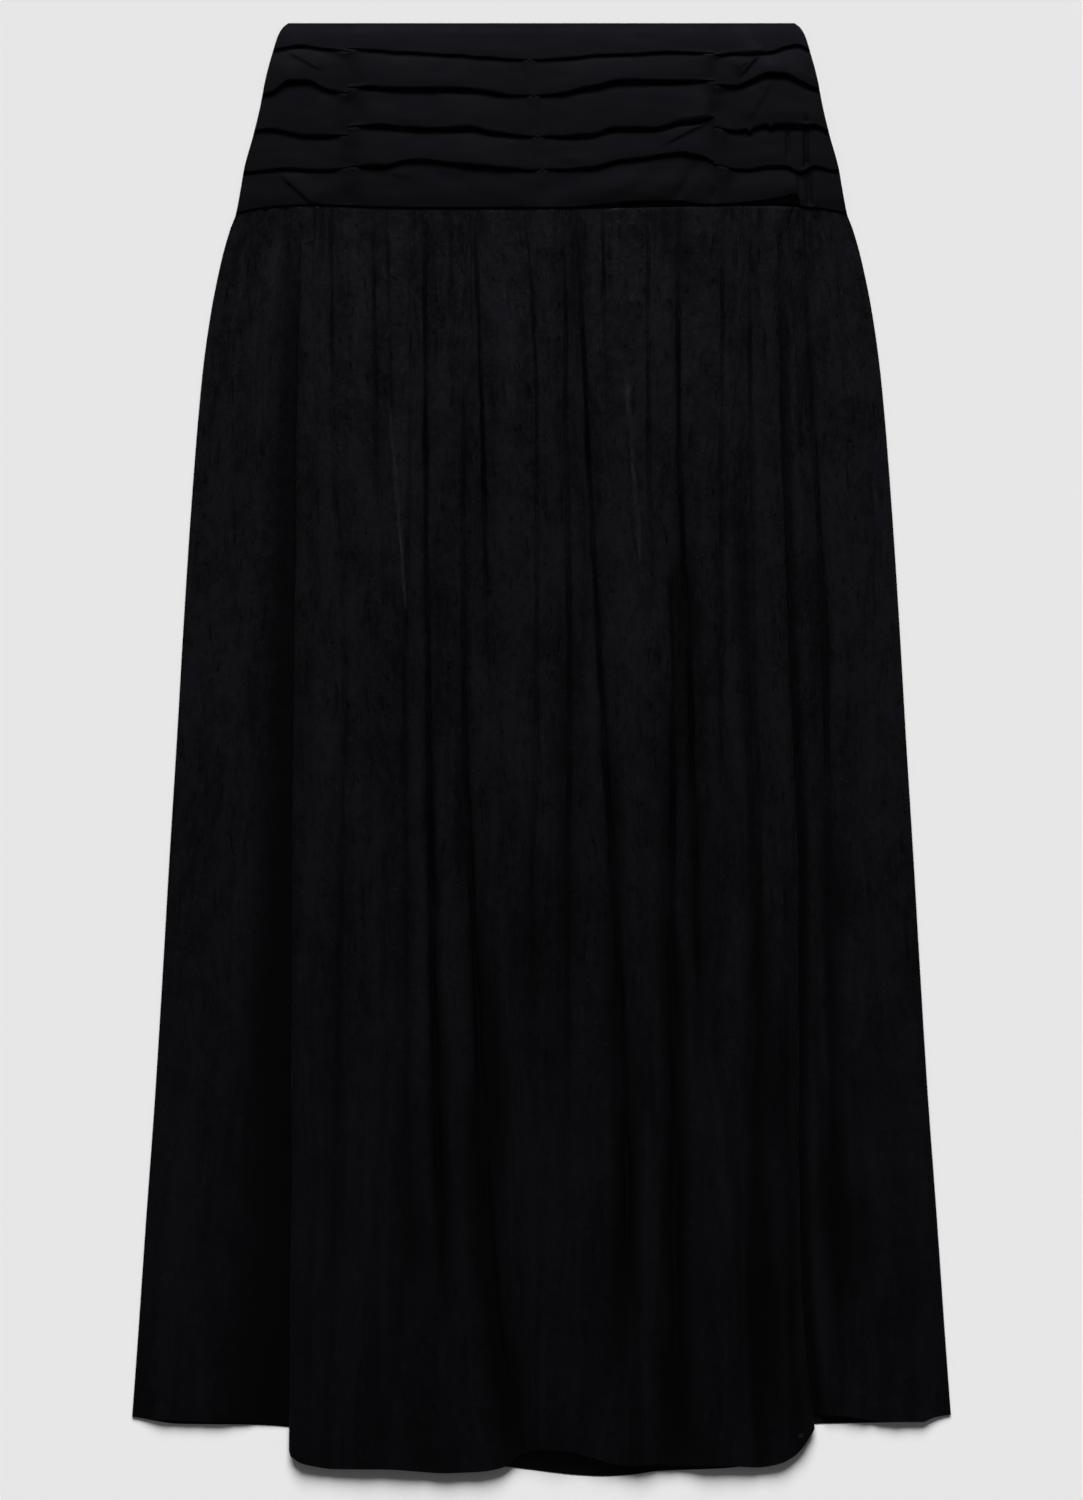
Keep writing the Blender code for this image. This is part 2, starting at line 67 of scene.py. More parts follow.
OUTLINE = (
    # down, half of the laid-out width
    (0, 168.7), (3, 172.3), (8, 175.3), (17, 178.3), (37, 183.7), (57, 187.5),
    (77, 192.3), (97, 198), (117, 201.5), (127, 203.5), (137, 207.3), (157, 213),
    (197, 221), (237, 226.3), (317, 233), (397, 238.3), (477, 243), (557, 248),
    (637, 252.7), (717, 257.7), (797, 263.5), (877, 269), (929, 272.8),
)
YOKE_SEAM = (
    # across, down
    (-203.5, 127), (-190, 123.8), (-171, 121.8), (-150, 121.4), (-120, 122.4), (-80, 123.3),
    (30, 123.5), (75, 122.6), (110, 122), (145, 121.8), (171, 122.4), (190, 124.1), (203.5, 127),
)
LEFT_TUCKS = (
    # across, depth of the four lips
    (-194, 18.3, 48.7, 73.3, 99.3),
    (-181, 18, 46.3, 70.9, 98),
    (-168, 15.8, 38.7, 73.3, 96.8),
    (-156, 15.8, 38.5, 75.3, 98),
    (-144, 17.1, 44.3, 74.8, 98),
    (-131, 19, 47, 75.3, 96.7),
)
CENTRE_TUCKS = (
    # across, depth of the four lips
    (-127, 17.3, 43.3, 69.5, 96),
    (-108, 18, 43.3, 67.7, 95.8),
    (-88, 19.7, 43.7, 70.2, 91.5),
    (-48, 22, 44.8, 70.7, 94.7),
    (-28, 23.3, 47.2, 73.3, 96.7),
    (-5, 24.7, 48.3, 75.8, 98),
    (12, 23.5, 47, 76, 97.8),
    (32, 22, 43.1, 74.7, 96.4),
    (52, 20.7, 39, 70.5, 91.9),
    (72, 20, 38.7, 70.4, 89.6),
    (92, 19.3, 38.7, 66.7, 87.3),
    (106, 20.3, 39, 64.6, 89),
    (115, 20.3, 39, 63, 93.2),
)
RIGHT_TUCKS = (
    # across, depth of the four lips
    (117, 21.3, 41.5, 70, 94.7),
    (129, 20.7, 41.9, 72, 97.1),
    (140, 20.2, 38.7, 70.8, 97.5),
    (151, 19.3, 34.5, 67.8, 96),
    (162, 16.3, 34, 67.6, 95.8),
    (172, 15, 38.5, 68.5, 99.2),
    (182, 19.6, 43.3, 68.5, 95.8),
    (194, 21.3, 46.7, 75, 98.6),
)
# The lowest strip rolls over just above the seam, highest beside the hidden zip.
LOWEST_ROLL = (
    # across, height of the roll above the seam, how far it stands up
    (-204, 0.1, 0.05), (-120, 0.1, 0.05), (-40, 0.2, 0.1), (12, 0.4, 0.15), (40, 2, 0.4), (64, 3.6, 0.6),
    (92, 3.2, 0.5), (108, 0.9, 0.2), (124, 1.2, 0.15), (140, 2.4, 0.25), (156, 4.6, 0.32), (172, 7.8, 0.36),
    (173.5, 0.2, 0.05), (204, 0.1, 0.05),
)
# Slanting pulls near where the tucks are caught, and the side seam with its
# hidden zip, which has rolled to the front on the right: these are grooves.
PULLS = (
    # from across, down, to across, down, height, width, width below it as a share
    (-166.3, 20.3, -149.7, 29.7, 0.8, 9, 0.11),
    (-170, 104.3, -152.7, 120, 1.5, 10, 0.12),
    (-98.3, 100.7, -88.3, 102, 0.4, 6, 0.24),
    (145, 19.6, 133.2, 33.2, 1.9, 9, 0.17),
    (136.7, 25.7, 131.7, 30, 0.8, 5, 0.22),
    (151, 40.7, 139, 60.7, 0.8, 9, 0.25),
    (126.3, 45.3, 125, 65.3, -0.6, 3.5, 1),
    (111, 65.3, 85, 78.7, 1.3, 9, 0.13),
    (95.7, 106.7, 91, 112.7, -0.5, 1.8, 1),
    (115.7, 111.3, 113, 117.3, -0.5, 1.8, 1),
    (-131, 22, -121, 42, -1, 6, 1),
    (-128, 50, -121, 66, -0.8, 6, 1),
    (118, 22, 113, 36, -0.6, 5, 1),
    (121, 44, 117, 62, -0.6, 5, 1),
    (103, 94, 90, 120, -0.7, 4, 1),
    (84, 96, 60, 112, -0.6, 6, 1),
    (-76, 97, -52, 106, -0.4, 6, 1),
    (20, 104, 2, 116, -0.4, 6, 1),
    (163.8, 70, 164.5, 88, -1.4, 1.6, 1),
    (176.3, 68, 176.3, 96, -2.2, 1.6, 1),
    (177, 97, 178.6, 121, -1.8, 2.2, 1),
)
PULL_PAST = 0.3  # a pull fades out this far past its ends, as a share of its length
# The tucks puff up in mid panel, and lie flatter at each seam and tack.
TUCK_FULLNESS = (
    # across, fullness of the four tucks
    (-200, 0.09, 0.25, 0.25, 0.25),
    (-186, 0.15, 0.6, 0.5, 0.35),
    (-168, 0.18, 1.2, 0.65, 0.5),
    (-150, 0.15, 0.8, 0.7, 0.4),
    (-129, 0.12, 0.35, 0.35, 0.35),
    (-108, 0.15, 0.85, 0.85, 1),
    (-88, 0.15, 1.1, 1, 0.85),
    (-65, 0.18, 1.1, 0.9, 0.75),
    (-45, 0.21, 0.85, 1.15, 1.15),
    (-24, 0.15, 0.5, 0.9, 0.95),
    (-12, 0.12, 0.3, 0.5, 0.5),
    (0, 0.12, 0.35, 0.3, 0.3),
    (12, 0.15, 0.6, 0.45, 0.4),
    (32, 0.18, 1, 0.9, 0.8),
    (60, 0.21, 1.1, 1.15, 0.7),
    (85, 0.21, 0.8, 1.05, 0.75),
    (104, 0.18, 0.55, 1, 0.85),
    (115, 0.12, 0.35, 0.5, 0.45),
    (130, 0.15, 0.6, 0.6, 0.35),
    (145, 0.18, 1, 0.8, 0.4),
    (158, 0.24, 1.1, 0.95, 0.5),
    (176, 0.24, 0.8, 0.8, 0.5),
    (196, 0.12, 0.25, 0.25, 0.2),
)
TUCK_TURN, SEAM_TUCK = 0.35, 1.5  # radius inside a tuck, cloth folded under the lowest roll
TUCK_DIP = 0.4  # a strip starts this much lower, under the lip above it
LIP_FLAT, LIP_PUFFED = 0.35, 1.35  # radius of a lip at a seam and in mid panel
TUCK_SHALLOW, TUCK_DEEP = 0.8, 4  # cloth folded under a lip at a seam and in mid panel
# Where the tucks are sewn down: across at the first and at the fourth lip, over
# what width they close there, and how far.
CAUGHT = (
    (LEFT_PANEL_SEAM, LEFT_PANEL_SEAM + 1.5, 6.5, 1.4),
    (CENTRE_TACK - 3, CENTRE_TACK + 5.5, 4.5, 1.2),
    (CENTRE_TACK - 3, CENTRE_TACK + 5.5, 15, 0.35),
    (RIGHT_PANEL_SEAM - 3, RIGHT_PANEL_SEAM + 6, 5, 1.2),
)
# Nicks in the third lip on the right, where the zip seam pulls it.
NICKS, NICK_DEPTH, NICK_WIDTH = (138.8, 152.8), 2.4, 1.6
WAIST_ROLL, WAIST_ROLL_LENGTH = 0.8, 9  # the waist edge rounds down by this much

# How a strip rises from its start to its lip, as shares of its length and of its rise.
STRIP_SHAPE = ((0, 0), (0.07, 0.02), (0.2, 0.22), (0.5, 0.57), (0.8, 0.88), (1, 1))
LOWEST_SHAPE = ((0, 0), (0.1, 0.2), (0.3, 0.48), (0.6, 0.84), (0.85, 1), (1, 1))
ROLLED_SHAPE = ((0, 0), (0.12, 0.18), (0.3, 0.5), (0.5, 0.9), (0.65, 1.1), (0.78, 1.16), (0.9, 1.1), (1, 1))
FULL_ROLL = 0.35  # a roll that stands this much has its full shape
STRIP_STEPS = 25
SEAM_DIP, SEAM_DIP_WIDTH = 0.3, 3  # the cloth dips to each upright seam
LIP_WANDER, PUFF_WANDER, STRIP_WANDER = 0.6, 0.25, 0.15  # how uneven lips, puffs and strips are
YOKE_CUT_LENGTH = 172


def curve(rows, at, column=1):
    """Read a table at a place, on a smooth curve through its rows that never overshoots."""
    at = min(max(at, rows[0][0]), rows[-1][0])
    i = max(k for k in range(len(rows) - 1) if rows[k][0] <= at)

    def slope(k):
        k = min(max(k, 0), len(rows) - 2)
        return (rows[k + 1][column] - rows[k][column]) / (rows[k + 1][0] - rows[k][0])

    def tangent(k):
        before, after = slope(k - 1), slope(k)
        return 0.0 if before * after <= 0 else 2 * before * after / (before + after)

    span = rows[i + 1][0] - rows[i][0]
    t = (at - rows[i][0]) / span
    return ((2 * t**3 - 3 * t**2 + 1) * rows[i][column] + (t**3 - 2 * t**2 + t) * span * tangent(i)
            + (3 * t**2 - 2 * t**3) * rows[i + 1][column] + (t**3 - t**2) * span * tangent(i + 1))


def ease(t):
    """0 to 1, level at both ends."""
    t = min(max(t, 0.0), 1.0)
    return t * t * (3 - 2 * t)


def bell(offset, width=1.0):
    """1 in the middle, falling away softly on both sides."""
    return math.exp(-(offset / width) ** 2)


def mix(a, b, t):
    return a + (b - a) * t


def shares(count):
    """Even shares from 0 to 1."""
    return [i / count for i in range(count + 1)]


def held_shares(count, length):
    """Even shares, with one more just inside each end of this length."""
    hold = EDGE_HOLD / length
    return [0, hold] + shares(count)[1:-1] + [1 - hold, 1]


def waver(x, y, seed):
    """Soft unevenness, about -1 to 1."""
    return noise.noise(Vector((x, y, seed * 7.31))) * 1.6


def half_turn(centre, level, radius, side, count):
    """Half a turn of the cloth from its top to its underside, bulging to one side."""
    angles = [math.pi * (0.5 - share) for share in shares(count)]
    return [(centre + side * radius * math.cos(a), level + radius * math.sin(a)) for a in angles]


def caught(across, number):
    """How far this tuck is sewn down here: 1 where it lies flat, 0 away from there."""
    return min(1.0, max(closed * bell(across - mix(first, fourth, number / 3), width)
                        for first, fourth, width, closed in CAUGHT))


def pulls(across, down):
    """Height of the slanting pulls and grooves at a place."""
    height = 0.0
    for x0, y0, x1, y1, high, width, below in PULLS:
        dx, dy = x1 - x0, y1 - y0
        length = math.hypot(dx, dy)
        along = ((across - x0) * dx + (down - y0) * dy) / length ** 2
        aside = (dx * (down - y0) - dy * (across - x0)) / length * (1 if dx > 0 else -1)
        aside /= width * below if aside > 0 else width
        from_end = PULL_PAST + min(along, 1 - along)
        if from_end > 0 and abs(aside) < 3:
            height += high * bell(aside) * ease(2.2 * from_end)
    return height


def yoke_profile(tucks, place):
    """The wall's middle line from the waist edge down to the seam, as (across, down, z).

    place(down) is where this thread of the cloth lies across at a depth.
    """
    at_seam = place(SIDE_SEAM_DOWN)
    seam = curve(YOKE_SEAM, at_seam)
    rough_lips = [curve(tucks, place(MID_TUCKS), column) for column in (1, 2, 3, 4)]
    lips = [curve(tucks, place(rough), number + 1) for number, rough in enumerate(rough_lips)]
    lips.append(seam - curve(LOWEST_ROLL, at_seam))
    points = []
    start, start_z = 0.0, LAID
    for number, lip in enumerate(lips):
        lowest = number == len(lips) - 1
        across = place(lip)
        sewn = caught(across, number)
        from_seam = min(abs(across - LEFT_PANEL_SEAM), abs(across - RIGHT_PANEL_SEAM))
        seam_dip = SEAM_DIP * bell(from_seam, SEAM_DIP_WIDTH)
        if lowest:
            stand = curve(LOWEST_ROLL, at_seam, 2)
        else:
            lip += LIP_WANDER * waver(across / 15, number * 5.7, 4) * (1 - sewn)
            if number == 2:
                lip += NICK_DEPTH * sum(bell(across - nick, NICK_WIDTH) for nick in NICKS)
            puff = 1 + PUFF_WANDER * waver(across / 14, number * 3.1, 2)
            stand = curve(TUCK_FULLNESS, across, number + 1) * puff
        lip_turn = mix(LIP_FLAT, LIP_PUFFED, stand)
        under = SEAM_TUCK if lowest else mix(TUCK_SHALLOW, TUCK_DEEP, stand)
        centre = lip - lip_turn - CREPE_WALL / 2
        top = LAID + 2 * TUCK_TURN + 2 * lip_turn
        for share, plain, level, rolled in STRIP[:-1]:
            up = mix(level, rolled, min(stand / FULL_ROLL, 1.0)) if lowest else plain
            down = mix(start, centre, share)
            raised = pulls(place(down), down) + STRIP_WANDER * waver(across / 17, down / 7, 9)
            z = mix(start_z, top, up) + raised * ease(5 * share) - seam_dip * ease(4 * share)
            if number == 0:
                z -= WAIST_ROLL * (1 - ease(down / WAIST_ROLL_LENGTH + 0.1))
            points.append((down, max(z, LAID - WAIST_ROLL)))
        points += half_turn(centre, top - lip_turn, lip_turn, 1, 8)
        points += half_turn(centre - under, LAID + TUCK_TURN, TUCK_TURN, -1, 6)
        if not lowest:
            start, start_z = lip + 0.5, mix(LAID - TUCK_DIP, top - 0.3, sewn)
            points.append((lip + 0.2, LAID - TUCK_DIP))
    points.append((seam - HALF_GAP, LAID))
    return [(place(down), down, z) for down, z in points]


STRIP = [(share, *(curve(shape, share) for shape in (STRIP_SHAPE, LOWEST_SHAPE, ROLLED_SHAPE)))
         for share in shares(STRIP_STEPS)]


def new_object(name, data):
    """An object in the scene for a mesh, a light or a camera."""
    made = bpy.data.objects.new(name, data)
    bpy.context.scene.collection.objects.link(made)
    return made


def cloth_piece(name, grid, cloth_across, wall, lie=0.0, marks=None):
    """A wall of cloth on a grid of (across, down, z), with UVs that run with its threads."""
    verts = [(x * MM, (WAIST - down) * MM, z * MM) for row in grid for x, down, z in row]
    wide = len(grid[0])
    corners = [i * wide + j for i in range(len(grid) - 1) for j in range(wide - 1)]
    faces = [(corner, corner + wide, corner + wide + 1, corner + 1) for corner in corners]
    mesh = bpy.data.meshes.new(name)
    mesh.from_pydata(verts, [], faces)
    if sum(face.normal.z * face.area for face in mesh.polygons) < 0:
        mesh.flip_normals()
    on_cloth = [(cloth_across[j] * MM, row[j][1] * MM) for row in grid for j in range(wide)]
    uv = mesh.uv_layers.new(name="Cloth")
    uv.data.foreach_set("uv", [part for loop in mesh.loops for part in on_cloth[loop.vertex_index]])
    for mark, values in (marks or {}).items():
        mesh.attributes.new(mark, "FLOAT", "POINT").data.foreach_set("value", values)
    mesh.shade_smooth()
    piece = new_object(name, mesh)
    thick = piece.modifiers.new("Cloth", "SOLIDIFY")
    thick.thickness = wall * MM
    thick.offset = lie
    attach(piece, "root")
    return piece


class Value:
    """A socket in a shader.  Arithmetic on it adds Math nodes."""

    def __init__(self, tree, socket=None):
        self.tree = tree
        self.socket = socket

    def node(self, kind, settings=None, inputs=None, output=0):
        made = self.tree.nodes.new("ShaderNode" + kind)
        for name, value in (settings or {}).items():
            setattr(made, name, value)
        for name, value in (inputs or {}).items():
            if isinstance(value, Value):
                self.tree.links.new(value.socket, made.inputs[name])
            else:
                made.inputs[name].default_value = value
        return Value(self.tree, made.outputs[output])

    def math(self, operation, *terms):
        return self.node("Math", {"operation": operation}, dict(enumerate(terms)))

    def __add__(self, other):
        return self.math("ADD", self, other)

    def __sub__(self, other):
        return self.math("SUBTRACT", self, other)

    def __rsub__(self, other):
        return self.math("SUBTRACT", other, self)

    def __mul__(self, other):
        return self.math("MULTIPLY", self, other)

    __radd__ = __add__
    __rmul__ = __mul__

    def vector(self, operation, other, output=0):
        return self.node("VectorMath", {"operation": operation}, {0: self, 1: other}, output)

    def noise(self, across, along, detail=2.0, roughness=0.5):
        """Noise on these cloth coordinates, 0 to 1: so many grains to a metre each way."""
        grains = self.vector("MULTIPLY", (across, along, 1.0))
        return self.node("TexNoise", {"noise_dimensions": "2D"},
                         {"Vector": grains, "Scale": 1.0, "Detail": detail, "Roughness": roughness})

    def between(self, low, high):
        """0 at low, 1 at high, eased in between."""
        return self.node("MapRange", {"interpolation_type": "SMOOTHSTEP"},
                         {"Value": self, "From Min": low, "From Max": high})

    def part(self, number):
        """One number of a vector or a colour."""
        return self.node("SeparateXYZ", None, {"Vector": self}, number)

    def mark(self, name):
        """A value that each vertex of the mesh carries."""
        return self.node("Attribute", {"attribute_name": name}, None, 2)

    def blend(self, first, second):
        """A colour: first where this is 0, second where it is 1."""
        return self.node("Mix", {"data_type": "RGBA"}, {0: self, 6: first, 7: second}, 2)

    def relief(self, depth):
        """A surface normal from this height, which is so many metres deep."""
        return self.node("Bump", None, {"Height": self, "Strength": 1.0, "Distance": depth})

    def plug(self, shader, socket):
        self.tree.links.new(self.socket, shader.inputs[socket])


def new_material(name, constants):
    """A material with its fixed numbers set, and its shader."""
    material = bpy.data.materials.new(name)
    material.use_nodes = True
    shader = material.node_tree.nodes["Principled BSDF"]
    for socket, value in constants.items():
        shader.inputs[socket].default_value = value
    return material, shader


def new_cloth(name, gloss):
    """A cloth's material, its coordinates along the threads, and its shader."""
    fixed = {"Specular IOR Level": gloss, "Sheen Weight": NAP, "Sheen Roughness": NAP_ROUGHNESS}
    material, shader = new_material(name, fixed)
    return material, Value(material.node_tree).node("UVMap", {"uv_map": "Cloth"}), shader


# Crepe: a fine pebbled weave, black with a breath of violet, nearly matt.  It has
# painted light: it is painted paler along the waist and where it is tacked.
WAIST_PAINTED_LIGHT, TACK_PAINTED_LIGHT, TACK_PAINTED_LIGHT_WIDTH = (34, 18), 0.5, 8
FIRST_TACK, LAST_TACK = 24, 98  # how far down the tacks are
NAP, NAP_ROUGHNESS = 0.02, 0.3  # the faint pale nap of both cloths, seen from low down
crepe, crepe_threads, crepe_shader = new_cloth("crepe", 0.09)
crepe_clouds = crepe_threads.noise(30, 55, 3.0).between(0.3, 0.7)
pebble = crepe_threads.noise(2300, 2300) * 0.6 + crepe_threads.noise(1100, 3400) * 0.4
painted_light = crepe_threads.mark("PaintedLight")
crepe_ground = crepe_clouds.blend((0.0009, 0.0008, 0.001, 1), (0.002, 0.0018, 0.0026, 1))
# Painted light: the crepe is blended towards a paler colour along the waist and at the tacks.
crepe_colour = (painted_light * (0.75 + 0.25 * crepe_clouds)).blend(crepe_ground, (0.0036, 0.0034, 0.0045, 1))
crepe_colour.plug(crepe_shader, "Base Color")
(0.62 + 0.14 * crepe_clouds).plug(crepe_shader, "Roughness")
pebble.relief(0.00008).plug(crepe_shader, "Normal")


def painted_light_at(across, down):
    """How much light is painted onto the crepe at a place, along the waist and at the tacks."""
    depth, fade = WAIST_PAINTED_LIGHT
    from_tack = across - mix(*CAUGHT[1][:2], (down - FIRST_TACK) / (LAST_TACK - FIRST_TACK))
    return max(ease((depth - down) / fade), TACK_PAINTED_LIGHT * bell(from_tack, TACK_PAINTED_LIGHT_WIDTH))


def yoke_front(node, tucks, span, columns):
    """A tucked panel; span gives its two edges for a half width of the outline."""
    left, right = span(curve(OUTLINE, MID_YOKE))
    across_shares = held_shares(columns, right - left)
    profiles = [yoke_profile(tucks, lambda down: mix(*span(curve(OUTLINE, down)), share))
                for share in across_shares]
    grid = list(zip(*profiles))
    cloth_across = [mix(left, right, share) for share in across_shares]
    # Painted light for each vertex: how much paler the crepe is painted there.
    marks = {"PaintedLight": [painted_light_at(across, down) for row in grid for across, down, z in row]}
    front = cloth_piece(node + "_crepe", grid, cloth_across, CREPE_WALL, marks=marks)
    front.data.materials.append(crepe)
    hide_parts(node)
    (right - left) * YOKE_CUT_LENGTH * MM**2


yoke_front("yoke_front_left", LEFT_TUCKS, columns=105,
           span=lambda half: (-half, LEFT_PANEL_SEAM - HALF_GAP))
yoke_front("yoke_front_centre", CENTRE_TUCKS, columns=215,
           span=lambda half: (LEFT_PANEL_SEAM + HALF_GAP, RIGHT_PANEL_SEAM - HALF_GAP))
yoke_front("yoke_front_right", RIGHT_TUCKS, columns=125,
           span=lambda half: (RIGHT_PANEL_SEAM + HALF_GAP, half))

# Tack stitches: a few turns of black thread hold each tuck down at centre front.
THREAD_RADIUS, THREAD_SIDES, THREAD_PITCH = 0.16, 6, 0.4
THREAD_TWIST = (3000, 1500)  # twists to a metre, along the stitches and across
TACK_HALF, TACK_STRANDS = 1.4, 3
# A strand's path: across as a share of its half length, and height over the cloth.
TACK_PATH = ((-1, -0.4), (-0.8, 0.05), (-0.3, 0.12), (0.3, 0.12), (0.8, 0.05), (1, -0.4))


def strands(across, down, top, half, count, slant, path):
    """Strands of thread side by side over the cloth, each as (across, down, z)."""
    return [[(across + reach * half, down + strand * THREAD_PITCH + slant * reach, top + rise)
             for reach, rise in path] for strand in range(count)]


def stitches(name, paths, tones, gloss):
    """Sewing threads as one mesh: a round thread of dark and pale plies along each path."""
    thread, thread_shader = new_material(name, {"Roughness": 0.6, "Specular IOR Level": gloss})
    twist = Value(thread.node_tree).node("TexCoord", output=3).noise(*THREAD_TWIST).between(0.35, 0.65)
    twist.blend(*tones).plug(thread_shader, "Base Color")
    twist.relief(0.00005).plug(thread_shader, "Normal")
    verts, faces = [], []
    for path in paths:
        points = [Vector((x * MM, (WAIST - down) * MM, z * MM)) for x, down, z in path]
        first = len(verts)
        for number, point in enumerate(points):
            along = points[min(number + 1, len(points) - 1)] - points[max(number - 1, 0)]
            aside = along.cross(Vector((0, 0, 1))).normalized()
            up = aside.cross(along).normalized()
            for k in range(THREAD_SIDES):
                a = 2 * math.pi * k / THREAD_SIDES
                verts.append(point + THREAD_RADIUS * MM * (math.cos(a) * aside + math.sin(a) * up))
        for ring in range(first, len(verts) - THREAD_SIDES, THREAD_SIDES):
            for k in range(THREAD_SIDES):
                after = (k + 1) % THREAD_SIDES
                faces.append((ring + k, ring + THREAD_SIDES + k, ring + THREAD_SIDES + after, ring + after))
        faces.append(tuple(range(first, first + THREAD_SIDES)))
        faces.append(tuple(range(len(verts) - 1, len(verts) - THREAD_SIDES - 1, -1)))
    mesh = bpy.data.meshes.new(name)
    mesh.from_pydata(verts, [], faces)
    mesh.shade_smooth()
    mesh.materials.append(thread)
    piece = new_object(name, mesh)
    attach(piece, "root")


tacks = []
for tuck in range(4):
    tack_across = mix(*CAUGHT[1][:2], tuck / 3)
    tack_lip = curve(CENTRE_TUCKS, tack_across, tuck + 1)
    profile = yoke_profile(CENTRE_TUCKS, lambda down: tack_across)
    lip_top = max(z for across, down, z in profile if abs(down - tack_lip) < 1.5) + CREPE_WALL / 2
    tacks += strands(tack_across, tack_lip - 0.5, lip_top, TACK_HALF, TACK_STRANDS, 0.1, TACK_PATH)
stitches("tack_stitches", tacks,
         ((0.0027, 0.0025, 0.0032, 1), (0.0063, 0.0059, 0.0076, 1)), 0.16)

# ------------------------
# Yoke back.  One plain panel of the same crepe, sewn to the fronts at the side
# seams.  It lies flat on the surface under them.
SIDE_HALF = 240  # usual half width of the skirt
BACK_CREASE, CREASE_INSET = 0.5, 8  # how far its creases lift off the surface, and start from an edge


def back_panel(name, side_depths, top, bottom, creases, columns, rows, wall):
    """A panel that lies on the surface.  creases(across, down) lifts it, 0 to 1."""
    across_shares = [2 * share - 1 for share in held_shares(columns, 2 * SIDE_HALF)]
    grid = []
    for share in held_shares(rows, bottom(0) - top(0)):
        half = curve(OUTLINE, mix(*side_depths, share))
        row = []
        for across in (half * step for step in across_shares):
            down = mix(top(across), bottom(across), share)
            inside = ease(min(half - abs(across), down - top(across), bottom(across) - down) / CREASE_INSET)
            row.append((across, down, BACK_CREASE * creases(across, down) * inside))
        grid.append(row)
    half = curve(OUTLINE, mix(*side_depths, 0.5))
    return cloth_piece(name, grid, [half * step for step in across_shares], wall, lie=1.0)


def pressed_crosswise(across, down):
    """Faint creases across the yoke back, from sitting."""
    return max(waver(across / 60, down / 5, 12), 0.0) ** 2


yoke_back = back_panel("yoke_back_crepe", (0, SIDE_SEAM_DOWN), lambda across: 0.0,
                       lambda across: curve(YOKE_SEAM, across) - HALF_GAP, pressed_crosswise,
                       columns=100, rows=50, wall=CREPE_WALL)
yoke_back.data.materials.append(crepe)
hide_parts("yoke_back")

# ------------------------
# Skirt back.  One wide panel of black jacquard, gathered into the yoke back and
# pressed flat under the front: its gathers lie as thin creases.
JACQUARD_WALL = 0.5
SIDE_HEM_DOWN = 929
BACK_HEM = (
    # across, down
    (-273, 928.7), (-241, 933.6), (-191, 934.2), (-165, 936), (-120, 950), (-60, 958.5), (-14, 963.2),
    (24, 967.6), (41, 968.4), (62, 967.3), (76, 965.2), (127, 962.8), (150, 956), (170, 940),
    (181, 933.6), (232, 932.6), (254, 930.2), (273, 927.3),
)
BACK_GATHERS, BACK_LENGTHS, BACK_WIDTHS, BACK_FADE = 46, (40, 620), (1.5, 4), 60

# Jacquard: upright crinkles in a satin ground, with tone-on-tone blossoms and
# leaves that are woven a little smoother than what is round them.
BLOSSOM_CELLS = (58, 48)  # to a metre, across and along
BLOSSOM_SIZE, PETAL, PETALS = 0.24, 0.05, 5
LEAF_WIDE, LEAF_LONG = 0.13, 0.34
jacquard, threads, jacquard_shader = new_cloth("jacquard", 0.14)

cells = threads.vector("MULTIPLY", (*BLOSSOM_CELLS, 1.0))
voronoi = {"voronoi_dimensions": "2D", "feature": "F1"}
placing = {"Vector": cells, "Scale": 1.0, "Randomness": 0.8}
spot = cells.vector("SUBTRACT", cells.node("TexVoronoi", voronoi, placing, 2))
lot = cells.node("TexVoronoi", voronoi, placing, 1)
lean = lot.part(1) - 0.5
spot_x = spot.part(0)
spot_y = spot.part(1)
from_middle = spot.vector("LENGTH", (0, 0, 0), 1)
bearing = PETALS * spot_y.math("ARCTAN2", spot_y, spot_x) + lean * 6.0
inside_blossom = BLOSSOM_SIZE + PETAL * bearing.math("COSINE", bearing) - from_middle
turned_x = spot_x + spot_y * lean
turned_y = spot_y - spot_x * lean
leaf_shape = turned_x * turned_x * LEAF_WIDE**-2 + turned_y * turned_y * LEAF_LONG**-2
inside_leaf = 0.16 - 0.16 * leaf_shape
flowering = lot.part(0).between(0.5, 0.52)
inside = flowering * inside_blossom + (1 - flowering) * inside_leaf
motif = inside.between(-0.01, 0.03)
puckered = (0.035 - inside.math("ABSOLUTE", inside)).between(-0.02, 0.03)

down_cloth = threads.part(1)
relaxed = down_cloth.between(0.3, 0.85)
drift = 0.022 * threads.noise(22, 7)
strayed = threads.vector("ADD", drift.node("CombineXYZ", None, {"X": drift}))
crinkle = strayed.noise(320, 26, 3.0, 0.6)
slub = strayed.noise(130, 5)
pucker = strayed.noise(190, 85)
warp = threads.noise(2200, 240)
columns = strayed.noise(85, 4).between(0.34, 0.66)
patch = strayed.noise(70, 40).between(0.4, 0.6)
cloudy = strayed.noise(20, 9, 3.0).between(0.35, 0.65)
bright_lines = strayed.noise(480, 42).between(0.64, 0.76)
dark_lines = strayed.noise(400, 30, 2.0, 0.4).between(0.36, 0.24)
flecks = strayed.noise(300, 120, 1.0)
specks = threads.noise(520, 280, 1.0).between(0.68, 0.76)
painted_highlight = threads.mark("PaintedHighlight")
painted_shade = threads.mark("PaintedShade")

